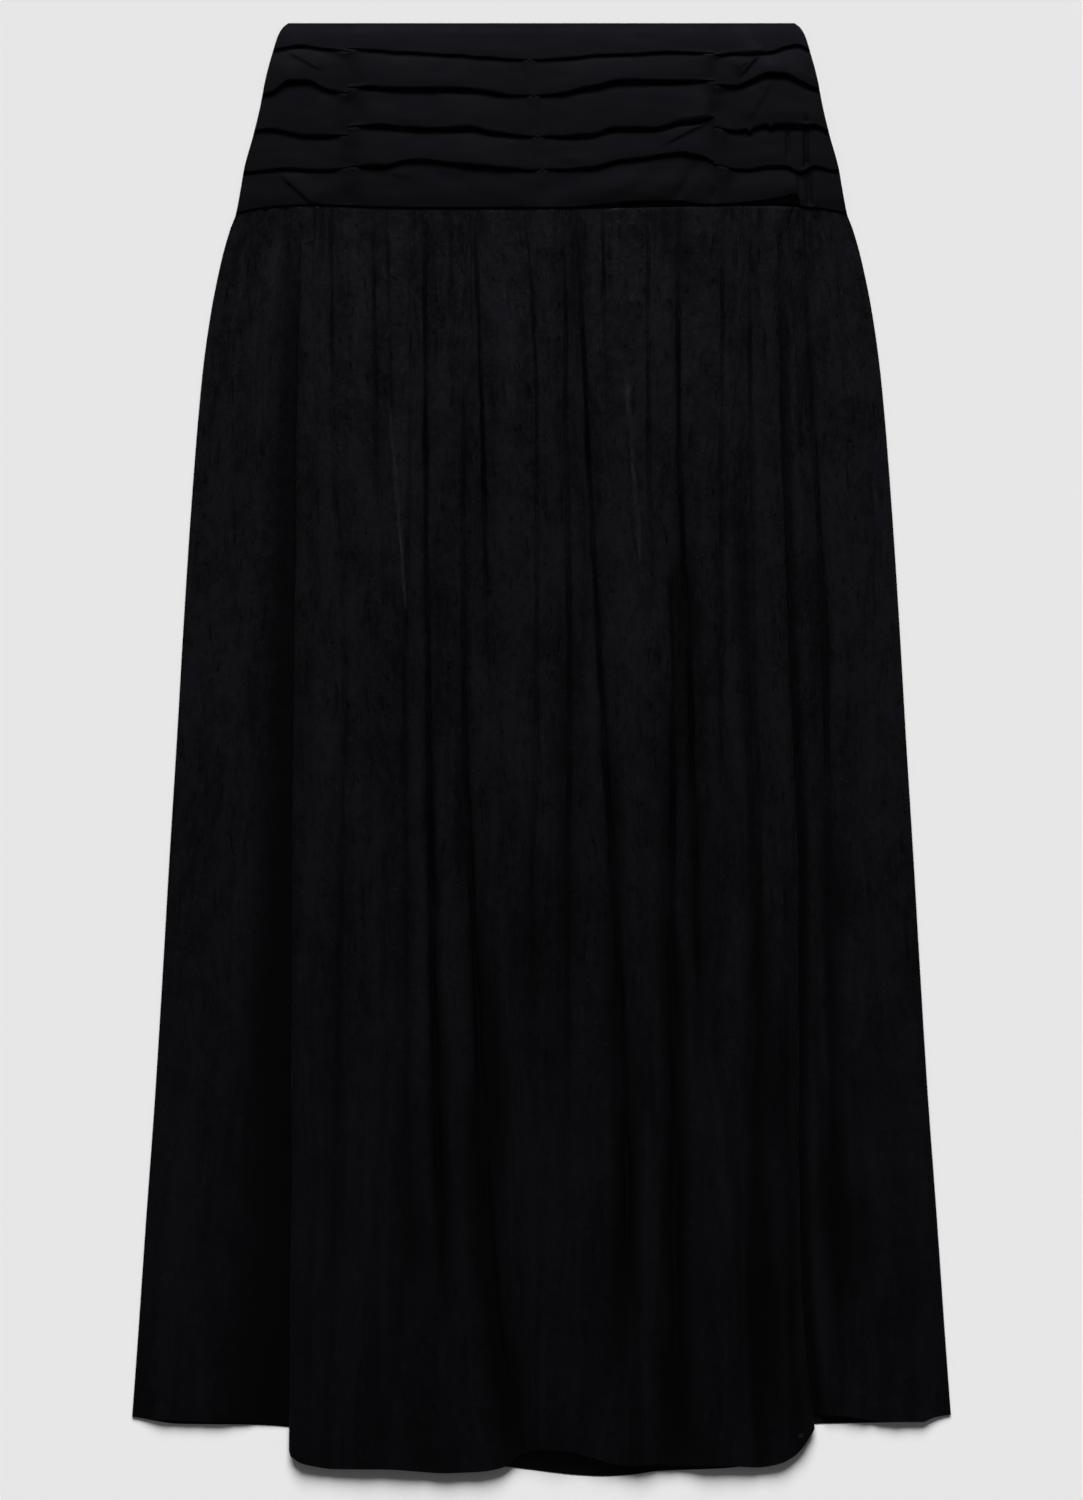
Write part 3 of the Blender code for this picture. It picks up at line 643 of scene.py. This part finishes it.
detail = 1 - 0.75 * relaxed
tone = 0.345 + (0.17 - 0.08 * relaxed) * cloudy + 0.13 * columns + 0.05 * motif - 0.07 * puckered
# Painted shade: darker just below the yoke seam; the cloth is also darker towards the hem.
tone = tone - 0.17 * down_cloth.between(0.28, 0.14) - 0.09 * down_cloth.between(0.78, 0.95)
tone = tone + detail * (0.2 * patch + 0.3 * bright_lines + 0.5 * specks - 0.3 * dark_lines)
tone = tone + detail * (0.25 * flecks.between(0.66, 0.76) - 0.3 * flecks.between(0.34, 0.24))
# Painted shade: the cloth is darkened in its creases, beside the long lips and on their turns.
tone = tone * (1 - 0.78 * painted_shade)
height = detail * (0.35 * crinkle + 0.8 * pucker - 0.08 * puckered) + 0.25 * slub + 0.05 * warp
ground = tone.between(0.0, 1.0).blend((0.0002, 0.0002, 0.0003, 1), (0.0035, 0.0033, 0.0046, 1))
broken = threads.noise(700, 90).between(0.42, 0.56)
# Painted highlights: pale glints, only near the top of the skirt.
glints = strayed.noise(620, 75).between(0.66, 0.78) * patch * down_cloth.between(0.36, 0.16)
# Painted highlights: the streaks and the glints blend the cloth's colour towards a pale one.
gleaming = painted_highlight * (0.25 + 0.35 * crinkle.between(0.35, 0.6) + 0.5 * broken) + 0.4 * glints
gleaming.blend(ground, (0.013, 0.014, 0.016, 1)).plug(jacquard_shader, "Base Color")
(0.4 + 0.32 * tone).plug(jacquard_shader, "Roughness")
height.relief(0.0007).plug(jacquard_shader, "Normal")

back_chance = random.Random(31)
back_gathers = []
for _ in range(BACK_GATHERS):
    gather_across = back_chance.uniform(-198, 198)
    gather_lean = gather_across / 900 + back_chance.uniform(-0.02, 0.02)
    gather_length = mix(*BACK_LENGTHS, back_chance.random() ** 2)
    gather_width = back_chance.uniform(*BACK_WIDTHS)
    gather_tall = back_chance.uniform(0.4, 1.0)
    back_gathers.append((gather_across, gather_lean, gather_length, gather_width, gather_tall))


def pressed_gathers(across, down):
    """The back's gathers, pressed into thin creases that fan out towards the hem."""
    past = down - SIDE_SEAM_DOWN
    height = 0.0
    for middle, lean, length, width, tall in back_gathers:
        aside = (across - middle - lean * past) / width
        if abs(aside) < 3 and past < length:
            height += tall * bell(aside) * ease((length - past) / BACK_FADE)
    return min(height, 1.0)


skirt_back = back_panel("skirt_back_jacquard", (SIDE_SEAM_DOWN, SIDE_HEM_DOWN),
                        lambda across: curve(YOKE_SEAM, across) + HALF_GAP,
                        lambda across: curve(BACK_HEM, across), pressed_gathers,
                        columns=240, rows=110, wall=JACQUARD_WALL)
skirt_back.data.materials.append(jacquard)
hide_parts("skirt_back")

# ------------------------
# Skirt front.  One wide panel of the same jacquard, gathered into the yoke.  Its
# middle lies over its own sides: each side runs in under it, turns back and
# turns again, as one long soft fold from the yoke to the hem.
SEAM_DOWN, HEM_DOWN = 123, 962
SKIRT_LENGTH = HEM_DOWN - SEAM_DOWN
LEFT_FOLD = (
    # down, lip across, tucked under, turn radius
    (123, -159, -7, 0.05),
    (135, -159.3, -5, 0.25),
    (150, -159.8, -1, 0.4),
    (170, -160.3, 6, 0.52),
    (200, -160.8, 15, 0.68),
    (260, -161.5, 21, 0.9),
    (430, -163.5, 30, 1),
    (600, -164.5, 28, 1.05),
    (770, -165, 26, 1.1),
    (962, -166.3, 23, 1.1),
)
RIGHT_FOLD = (
    # down, lip across, tucked under, turn radius
    (123, 157.5, -7, 0.05),
    (135, 157.2, -5, 0.25),
    (150, 157, -1, 0.4),
    (175, 156.9, 5, 0.55),
    (260, 157.2, 14, 0.9),
    (330, 159.3, 21, 0.95),
    (430, 163.5, 23, 1),
    (600, 169.5, 24, 1.05),
    (770, 169.8, 27, 1.1),
    (870, 172, 30, 1.1),
    (962, 180.3, 33, 1.1),
)
SEAM_STEP, SEAM_STEP_LENGTH = 0.2, 1.4  # the skirt starts this much under the yoke's edge
FOLD_RAMP = 3  # half width of a turn while it is still a plain slope
CROWN = 1.5  # height of the middle above its folded edges
SIDE_RISE = 3  # height of the side stretches above the back panel
EDGE_ROLL = 22  # width over which a side comes down to its side seam
GATHER_RISE = 150  # length over which the cloth rises out of the yoke seam
FOLD_EASE = 7  # width over which the middle settles past the cloth folded under it
FOLD_WANDER, WANDER_START = 0.5, 40  # how uneven the long lips are, and how that sets in
BESIDE_LIP_SHADE_RISE = 90  # length over which the painted shade beside a lip sets in
GATHER_BITE = 0.6  # how far under its usual level a gather can dip
# Low ground beside a lip, and the width of the rise from it at the seam and at the hem.
LEFT_FOOT, RIGHT_FOOT = (7, 12, 56), (3, 8, 9)
CREASE_LEVELS = (123, 260, 430, 600, 770, 962)
MIDDLE_CREASES = (
    # across at the six levels, top, end, depth above, depth below, width above, width below
    ((-140.5, -139.5, -131.5, -134.5, -137.5, -143), 120, 880, 1.3, 1.3, 4, 7),
    ((-113, -110.5, -110, -112, -115, -122), 120, 360, 1.8, 0, 6, 6),
    ((-103, -101, -100, -101, -103, -112), 120, 330, 1.6, 0, 6, 6),
    ((-89, -87.5, -91.5, -90.5, -91, -101), 170, 920, 0.8, 3, 4, 7),
    ((-77, -77.5, -75.5, -73, -68.5, -62.5), 124, 870, 2.8, 4.4, 4, 6),
    ((-60.5, -62, -62.5, -59, -53, -44), 120, 200, 1.6, 0, 3, 4),
    ((-49.5, -51.5, -52, -45, -36.5, -19.5), 150, 990, 0.3, 6.2, 4, 8),
    ((-45.5, -39.8, -36, -30, -22, -12), 130, 440, 3.6, 0, 4, 4),
    ((-10.5, -3.5, -3, -6.5, -4.5, -1), 120, 700, 1.3, 3, 5, 6),
    ((15.5, 16.5, 18.5, 17.5, 17.5, 17.5), 130, 780, 1.2, 3.8, 5, 6),
    ((24, 29.5, 39, 49.5, 57, 53.5), 124, 900, 2.6, 4.6, 4, 7),
    ((40.5, 44, 53, 62, 65.5, 62), 120, 280, 1.5, 0, 5, 5),
    ((71, 71, 74, 75, 77, 78), 120, 440, 1.6, 0, 6, 6),
    ((83, 84, 88, 87, 88.5, 91.5), 370, 985, 1.4, 6.2, 5, 8),
    ((91, 90.7, 98.5, 103.5, 107, 115.5), 124, 730, 4.2, 1.8, 5, 5),
    ((121.5, 119.5, 119, 123, 127, 129), 120, 640, 0.9, 2.2, 4, 5),
    ((139, 139, 142.5, 146, 141.5, 144.5), 120, 950, 0.8, 5, 4, 7),
    ((150, 151, 157.5, 163, 163.5, 171), 520, 970, 1, 3, 4, 5),
)
SIDE_CREASE = ((174.5, 181, 189, 191.5, 195, 200.5), 124, 900, 3.2, 4.6, 4, 8)
CREASE_START, CREASE_END = 20, 150  # length over which a crease begins, and ends
BROAD_SHARE, BROAD_SPREAD = (0.55, 0.95), 1.5  # the soft part of a crease, at the seam and at the hem
SHARP_SHARE, SHARP_WIDTH = (0.75, 0.3), (0.8, 3)  # the part pinched into a narrow line
LEFT_SIDE_HEM = ((-273, 928.7), (-242, 931.3), (-169, 933.3), (-140, 935.5))
MIDDLE_HEM = (
    # across, down
    (-166.3, 954.7), (-161, 958.7), (-150, 961.5), (-139, 963), (-102, 963.3), (-65, 965.7),
    (-40, 964.7), (-24, 961.5), (-12, 952.5), (0, 950.3), (16, 951), (36, 956.2), (49, 960),
    (62, 961.3), (74, 960), (95, 961), (127, 961.2), (144, 962), (158, 959.7), (168, 954.7),
    (174.5, 948), (180.3, 938.7),
)
RIGHT_SIDE_HEM = (
    # across, down
    (147, 927), (180, 927.3), (200, 928), (230, 932), (254, 932), (261, 929.2), (273, 927.3),
)
ARCH_ACROSS, ARCH_WIDTH, ARCH_LENGTH, ARCH_LIFT = 5, 24, 60, 2.5  # where the hem arches up
# Short gathers, placed where the yoke seam draws the cloth in.
SEAM_GATHERS = (
    # across, lean, length, depth, width
    (-171, -0.04, 80, 1.3, 2.2), (-184, -0.06, 46, 0.7, 1.8), (-152, 0, 38, 0.7, 1.6),
    (-146, -0.02, 64, 1, 1.8), (-128, -0.01, 30, 0.7, 1.5), (-120, 0.01, 52, 0.8, 1.6),
    (-96, 0.02, 34, 0.7, 1.4), (-84, 0, 24, 0.6, 1.4), (-68, -0.02, 42, 0.9, 1.6),
    (-54, 0.01, 58, 0.9, 1.6), (-31, -0.01, 26, 0.6, 1.5), (-22, 0.02, 36, 0.7, 1.5),
    (4, 0, 30, 0.6, 1.4), (11, 0.01, 22, 0.6, 1.3), (33, 0.05, 40, 0.7, 1.5),
    (47, 0.04, 28, 0.7, 1.4), (66, 0.02, 34, 0.7, 1.5), (76, 0, 54, 0.9, 1.6),
    (84, -0.01, 26, 0.6, 1.4), (110, 0.01, 44, 0.8, 1.6), (128, 0, 30, 0.7, 1.5),
    (146, 0.01, 60, 1, 1.8), (166, 0.02, 52, 1, 1.8), (183, 0.04, 58, 1, 2),
    (192, 0.08, 34, 0.6, 1.6),
)
FINE_GATHERS, FINE_LENGTHS, FINE_DEPTHS, FINE_WIDTHS = 90, (12, 120), (0.25, 0.7), (0.9, 2.2)
LONG_RIPPLES, RIPPLE_LENGTHS, RIPPLE_DEPTHS, RIPPLE_WIDTHS = 70, (90, 420), (0.3, 1), (1.6, 5)
# Painted highlights: places where a ridge of the satin ground catches the light, painted paler into the
# cloth's colour.
PAINTED_HIGHLIGHT_STREAKS = (
    # across and down at its top, down at its foot, lean, width, strength
    (-101.5, 252, 392, 0.08, 0.9, 0.75), (56.5, 235, 372, 0.075, 1, 0.7),
    (-199, 152, 186, -0.05, 1.8, 0.3), (-98, 250, 390, 0.05, 8, 0.06),
    (52, 200, 420, 0.06, 11, 0.08), (-20, 160, 260, 0, 9, 0.04),
    (-177, 134, 178, -0.02, 6, 0.18), (186, 162, 176, 0, 3, 0.2),
    (222, 300, 330, 0.05, 1.2, 0.4), (-20, 196, 260, 0.03, 1, 0.3),
    (131, 140, 190, 0, 1.2, 0.2), (-120, 230, 262, 0.04, 1, 0.3),
)
STREAK_FADE = 18  # length over which a streak begins, and ends
FULL_SHADE_DEPTH, LIP_SHADE = 5.5, 0.2  # a crease this deep gets the full painted shade; how much painted shade a lip's turns get
FIRST_ROWS, FIRST_LENGTH, LATER_ROWS = 22, 66, 68  # rows, closer over the first length
LAST_ROWS = (24.2, 11, 5, EDGE_HOLD, 0)  # the last rows, from the hem
CREASE_REACH, CREASE_OFFSETS = 3, (0.13, 0.27, 0.45, 0.7, 1)  # close columns beside a crease, as shares
MIDDLE_PITCH, SIDE_PITCH, UNDER_STEPS, TURN_STEPS = 1.7, 1.6, 4, 6
SIDE_WIDTHS = (88, 17, 49)  # usual widths of the side stretches, left to right
MID_SKIRT = 500


def track(crease, down):
    """Where a crease lies across, at this depth."""
    return curve(tuple(zip(CREASE_LEVELS, crease[0])), down)


def troughs(creases, down, seed):
    """The creases at one depth, as (across, depth, width) of a broad and a pinched part each."""
    parts = []
    lowness = (down - SEAM_DOWN) / SKIRT_LENGTH
    for number, crease in enumerate(creases):
        _, top, end, depth_above, depth_below, width_above, width_below = crease
        shown = ease((down - top) / CREASE_START + 0.5) * ease((end - down) / CREASE_END + 0.3)
        depth = mix(depth_above, depth_below, lowness) * shown
        across = track(crease, down) + 0.6 * waver(down / 45, number * 4.1, seed + 3)
        broad = mix(width_above, width_below, lowness) * BROAD_SPREAD
        broad *= 1 + 0.35 * waver(down / 90, number * 5.9, seed + 7)
        aside = 0.5 * broad * waver(down / 150, number * 3.3, seed + 9)
        soft_depth = depth * mix(*BROAD_SHARE, lowness) * (1 + 0.4 * waver(down / 70, number * 2.3, seed))
        parts.append((across + aside, soft_depth, broad))
        pinch = mix(*SHARP_WIDTH, lowness) * (1 + 0.35 * waver(down / 30, number * 1.7, seed + 5))
        uneven = 1 + 0.6 * waver(down / 38, number * 6.1, seed + 1)
        parts.append((across, depth * mix(*SHARP_SHARE, lowness) * uneven, pinch))
    return parts


chance = random.Random(7)
fine_gathers = list(SEAM_GATHERS)
for _ in range(FINE_GATHERS):
    fine_across = chance.uniform(-196, 196)
    fine_lean = fine_across / 2600 + chance.uniform(-0.03, 0.03)
    fine_length = mix(*FINE_LENGTHS, chance.random() ** 2)
    fine_depth = chance.choice((-0.6, 1)) * chance.uniform(*FINE_DEPTHS)
    fine_gathers.append((fine_across, fine_lean, fine_length, fine_depth, chance.uniform(*FINE_WIDTHS)))
long_ripples = []
for _ in range(LONG_RIPPLES):
    ripple_length = mix(*RIPPLE_LENGTHS, chance.random())
    ripple_top = chance.uniform(SEAM_DOWN - 60, HEM_DOWN - 0.6 * ripple_length)
    ripple_across = chance.uniform(-230, 230)
    ripple_depth = chance.choice((-0.7, 1)) * chance.uniform(*RIPPLE_DEPTHS)
    ripple_width = chance.uniform(*RIPPLE_WIDTHS)
    long_ripples.append((ripple_across, ripple_top, ripple_length, ripple_depth, ripple_width))


def gathers(down):
    """The short gathers at one depth, as (across, depth, width)."""
    past = down - SEAM_DOWN
    parts = []
    for across, lean, length, depth, width in fine_gathers:
        if past < length:
            shown = ease(past / 5 + 0.4) * ease((length - past) / (0.6 * length))
            parts.append((across + lean * past, depth * shown, width))
    return parts


def ripples(down):
    """The long faint ripples at one depth; they fan out with the panel."""
    parts = []
    fanned = mix(0.85, 1.06, (down - SEAM_DOWN) / SKIRT_LENGTH)
    for across, top, length, depth, width in long_ripples:
        if top < down < top + length:
            shown = math.sin(math.pi * (down - top) / length) ** 0.8
            parts.append((across * fanned, depth * shown, width))
    return parts


def pressed(parts, across):
    """How far a set of troughs presses the cloth down at a place."""
    return sum(depth * bell(across - middle, width)
               for middle, depth, width in parts if abs(across - middle) < 3 * width)


def long_fold(down, rows, side):
    """The two turns of a long fold, from the cloth underneath to its lip, as (across, z).

    side is 1 where the cloth comes in from the left, -1 where it comes from the right.
    """
    lip, under, radius = (curve(rows, down, column) for column in (1, 2, 3))
    lip += FOLD_WANDER * waver(down / 55, side, 8) * ease((down - SEAM_DOWN) / WANDER_START)
    closed = min(max(1 - under / rows[0][2], 0.0), 1.0)
    points = []
    for centre, bulge, level in ((under, 1, 1), (0.0, -1, 3)):
        for share in shares(TURN_STEPS):
            a = math.pi * (share - 0.5)
            inward = centre + bulge * closed * radius * math.cos(a) + (1 - closed) * FOLD_RAMP * math.sin(a)
            points.append((lip + side * inward, LAID + level * radius + radius * math.sin(a)))
    return points


def broad_swell(across, down):
    """The slow rise and fall of the cloth between its creases."""
    return 0.8 * waver(across / 13, down / 160, 21) + 0.35 * waver(across / 5, down / 90, 25)


def middle_height(across, down, layers, folds, parts):
    """Middle line of the wall where the middle lies on top, and how much shade is painted on it, by how
    deep it lies in a crease.
    """
    floor = LAID - GATHER_BITE
    for side, lip, under, radius in folds:
        past = side * (across - lip) - max(under, 0) - radius
        floor = max(floor, LAID + layers * (1 - ease(past / FOLD_EASE)))
    risen = ease((down - SEAM_DOWN) / GATHER_RISE)
    low = pressed(parts, across) - broad_swell(across, down) * risen
    height = LAID + layers + CROWN * risen - low
    lift = ARCH_LIFT * bell(across - ARCH_ACROSS, ARCH_WIDTH) * ease(1 - (HEM_DOWN - down) / ARCH_LENGTH)
    return max(height, floor) + lift, ease(low / FULL_SHADE_DEPTH + 0.1)


def side_height(across, down, half, lip, parts):
    """Middle line of the wall on a side stretch, which lies on the back, and the shade painted on it in
    creases and beside a lip.
    """
    foot, *slopes = LEFT_FOOT if across < 0 else RIGHT_FOOT
    slope = mix(*slopes, (down - SEAM_DOWN) / SKIRT_LENGTH)
    away = ease((abs(across) - abs(lip) - foot) / slope)
    risen = ease((down - SEAM_DOWN) / GATHER_RISE) * away * ease((half - abs(across)) / EDGE_ROLL)
    low = pressed(parts, across)
    height = (SIDE_RISE + 0.8 * broad_swell(across, down)) * risen - low
    # Painted shade beside a lip, where the side stretch lies low.
    beside = (1 - away) * ease((down - SEAM_DOWN) / BESIDE_LIP_SHADE_RISE)
    return LAID + max(height, -GATHER_BITE), max(beside, ease(low / FULL_SHADE_DEPTH))


def crease_columns(stops, counts):
    """Places across: close together at each crease, and so many evenly spaced between them."""
    columns = [stops[0]]
    for start, end, count in zip(stops, stops[1:], counts):
        reach = min(CREASE_REACH, 0.45 * (end - start))
        columns += [start + reach * offset for offset in CREASE_OFFSETS]
        columns += [mix(start + reach, end - reach, step) for step in shares(count + 1)[1:-1]]
        columns += [end - reach * offset for offset in reversed(CREASE_OFFSETS)]
        columns.append(end)
    return columns


def stops_across(down, left_lip, right_lip):
    """The creases of the middle and its two ends, just inside the lips."""
    return [left_lip + 4] + [track(crease, down) for crease in MIDDLE_CREASES] + [right_lip - 4]


usual_stops = stops_across(MID_SKIRT, curve(LEFT_FOLD, MID_SKIRT), curve(RIGHT_FOLD, MID_SKIRT))
MIDDLE_COLUMNS = [max(1, round((end - start - 2 * CREASE_REACH) / MIDDLE_PITCH))
                  for start, end in zip(usual_stops, usual_stops[1:])]
LEFT_COLUMNS, *RIGHT_COLUMNS = [round(width / SIDE_PITCH) for width in SIDE_WIDTHS]


def skirt_section(share):
    """Middle line of the front at a share of its length: (across, down, z, painted shade), left to right.
    """
    down = mix(SEAM_DOWN, HEM_DOWN, share)
    side_down = mix(SEAM_DOWN, SIDE_HEM_DOWN, share)
    half = curve(OUTLINE, mix(SIDE_SEAM_DOWN, SIDE_HEM_DOWN, share))
    left_turns = long_fold(down, LEFT_FOLD, 1)
    right_turns = long_fold(down, RIGHT_FOLD, -1)
    left_lip, right_lip = left_turns[-1][0], right_turns[-1][0]
    short = gathers(down) + ripples(down)
    middle_parts = troughs(MIDDLE_CREASES, down, 1) + short
    side_parts = troughs((SIDE_CREASE,), side_down, 2) + short
    folds = [(side, *(curve(rows, down, column) for column in (1, 2, 3)))
             for rows, side in ((LEFT_FOLD, 1), (RIGHT_FOLD, -1))]
    layers = 4 * curve(LEFT_FOLD, down, 3)
    seam_step = SEAM_STEP * (1 - ease((down - SEAM_DOWN) / SEAM_STEP_LENGTH))

    def place(across, z, painted_shade, hem):
        return across, mix(curve(YOKE_SEAM, across) + HALF_GAP, hem, share), z - seam_step, painted_shade

    def sides(places, lip, hems):
        return [place(across, *side_height(across, side_down, half, lip, side_parts), curve(hems, across))
                for across in places]

    def turned(turns, from_hem, to_hem):
        steps = shares(len(turns) - 1)
        # The turns of a lip get a little painted shade.
        return [place(across, z, LIP_SHADE, mix(from_hem, to_hem, step))
                for (across, z), step in zip(turns, steps)]

    left_places = [mix(-half, left_lip - 1, step) for step in held_shares(LEFT_COLUMNS, half + left_lip)]
    left_places += [mix(left_lip - 1, left_turns[0][0], step) for step in shares(UNDER_STEPS)[1:-1]]
    line = sides(left_places, left_lip, LEFT_SIDE_HEM)
    line += turned(left_turns, LEFT_SIDE_HEM[-1][1], MIDDLE_HEM[0][1])
    for across in crease_columns(stops_across(down, left_lip, right_lip), MIDDLE_COLUMNS):
        z, painted_shade = middle_height(across, down, layers, folds, middle_parts)
        line.append(place(across, z, painted_shade, curve(MIDDLE_HEM, across)))
    line += turned(right_turns[::-1], MIDDLE_HEM[-1][1], RIGHT_SIDE_HEM[0][1])
    right_places = [mix(right_turns[0][0], right_lip + 1, step) for step in shares(UNDER_STEPS)[1:-1]]
    right_places += crease_columns([right_lip + 1, track(SIDE_CREASE, side_down), half], RIGHT_COLUMNS)
    return line + sides(right_places, right_lip, RIGHT_SIDE_HEM)


def painted_highlight_at(across, down):
    """How strongly a highlight is painted at a place, where a ridge of the satin ground catches the light.
    """
    return sum(strength * bell(across - middle - lean * (down - top), width)
               * ease((down - top) / STREAK_FADE + 0.3) * ease((foot - down) / STREAK_FADE + 0.3)
               for middle, top, foot, lean, width, strength in PAINTED_HIGHLIGHT_STREAKS)


row_places = [0.0, EDGE_HOLD, 0.8, 1.6] + [FIRST_LENGTH * step for step in shares(FIRST_ROWS)[1:]]
row_shares = [past / SKIRT_LENGTH for past in row_places]
last_shares = [1 - reach / SKIRT_LENGTH for reach in LAST_ROWS]
row_shares += [mix(row_shares[-1], last_shares[0], step) for step in shares(LATER_ROWS)[1:]]
row_shares += last_shares[1:]
sections = [skirt_section(share) for share in row_shares]
front_grid = [[(across, down, z) for across, down, z, painted_shade in section] for section in sections]
front_marks = {
    # Painted highlights for each vertex, along the streaks.
    "PaintedHighlight": [painted_highlight_at(across, down) for section in sections for across, down, z, painted_shade in section],
    # Painted shade for each vertex, in creases and beside the lips.
    "PaintedShade": [painted_shade for section in sections for across, down, z, painted_shade in section],
}
halfway = front_grid[len(front_grid) // 2]
spread = [0.0]
for before, after in zip(halfway, halfway[1:]):
    spread.append(spread[-1] + math.hypot(after[0] - before[0], after[2] - before[2]))
skirt_front = cloth_piece("skirt_front_jacquard", front_grid, spread, JACQUARD_WALL, marks=front_marks)
skirt_front.data.materials.append(jacquard)
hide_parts("skirt_front")

# A small bartack on the right corner of the middle's hem.
BARTACK_ACROSS, BARTACK_DOWN = 172.5, 941
BARTACK_HALF, BARTACK_STRANDS, BARTACK_SLANT = 1.9, 7, -0.6
BARTACK_PATH = ((-1, -0.3), (-0.8, 0.08), (0, 0.15), (0.8, 0.08), (1, -0.3))
nearby = [z for row in front_grid for across, down, z in row
          if abs(across - BARTACK_ACROSS) < 4 and abs(down - BARTACK_DOWN) < 8]
bartack_top = max(nearby) + JACQUARD_WALL / 2
bartack = strands(BARTACK_ACROSS, BARTACK_DOWN - BARTACK_STRANDS / 2 * THREAD_PITCH, bartack_top,
                  BARTACK_HALF, BARTACK_STRANDS, BARTACK_SLANT, BARTACK_PATH)
stitches("hem_bartack", bartack,
         ((0.0036, 0.0036, 0.0048, 1), (0.0084, 0.0084, 0.0112, 1)), 0.2)

# ------------------------
# Floor, light and camera.  The skirt lies on pale paper under one broad soft
# light from the waist side, and is seen from straight above.
FLOOR_HALF = 12
FLOOR_TONE = 0.8
LIGHT_HEIGHT, LIGHT_BREADTH = 34, 34  # degrees above the floor, and across
LIGHT_STRENGTH, SKY_STRENGTH = 5.05, 0.1
# A long soft panel behind the waist gives the cloth its sheen, which fades down the skirt.
SHEEN_PLACE, SHEEN_AIM = (0, 1.45, 0.8), (0, 0.15, 0)
SHEEN_PANEL, SHEEN_POWER, SHEEN_COLOUR = (1.5, 0.5), 19.5, (0.83, 0.79, 1)
CAMERA_HEIGHT, FRAME_LENGTH, SENSOR = 4, 1, 36

floor_mesh = bpy.data.meshes.new("floor")
floor_corners = [(x * FLOOR_HALF, y * FLOOR_HALF, 0.0) for x, y in ((-1, -1), (1, -1), (1, 1), (-1, 1))]
floor_mesh.from_pydata(floor_corners, [], [(0, 1, 2, 3)])
matt_paper = {"Base Color": (FLOOR_TONE, FLOOR_TONE, FLOOR_TONE, 1), "Roughness": 1.0,
              "Specular IOR Level": 0.0}
floor_mesh.materials.append(new_material("paper", matt_paper)[0])
new_object("floor", floor_mesh)

light = bpy.data.lights.new("soft_light", "SUN")
light.energy = LIGHT_STRENGTH
light.angle = math.radians(LIGHT_BREADTH)
soft_light = new_object("soft_light", light)
soft_light.rotation_euler = (math.radians(LIGHT_HEIGHT - 90), 0, 0)
soft_light.visible_glossy = False

panel = bpy.data.lights.new("sheen_panel", "AREA")
panel.shape = "RECTANGLE"
panel.size, panel.size_y = SHEEN_PANEL
panel.energy = SHEEN_POWER
panel.color = SHEEN_COLOUR
sheen_panel = new_object("sheen_panel", panel)
sheen_panel.location = SHEEN_PLACE
aim = Vector(SHEEN_AIM) - sheen_panel.location
sheen_panel.rotation_euler = aim.to_track_quat("-Z", "Y").to_euler()
sheen_panel.visible_diffuse = False
sheen_panel.visible_camera = False

studio = bpy.data.worlds.new("studio")
studio.use_nodes = True
bpy.context.scene.world = studio
sky = Value(studio.node_tree)
seen = sky.node("LightPath")
sky_shader = studio.node_tree.nodes["Background"]
sky_shader.inputs["Color"].default_value = (1, 1, 1, 1)
(SKY_STRENGTH + (FLOOR_TONE - SKY_STRENGTH) * seen).plug(sky_shader, "Strength")
bpy.context.scene.view_settings.view_transform = "Standard"

lens = bpy.data.cameras.new("overhead")
lens.sensor_width = SENSOR
lens.lens = SENSOR * CAMERA_HEIGHT / FRAME_LENGTH
lens.clip_end = 50
overhead = new_object("overhead", lens)
overhead.location = (0, 0, CAMERA_HEIGHT)
bpy.context.scene.camera = overhead
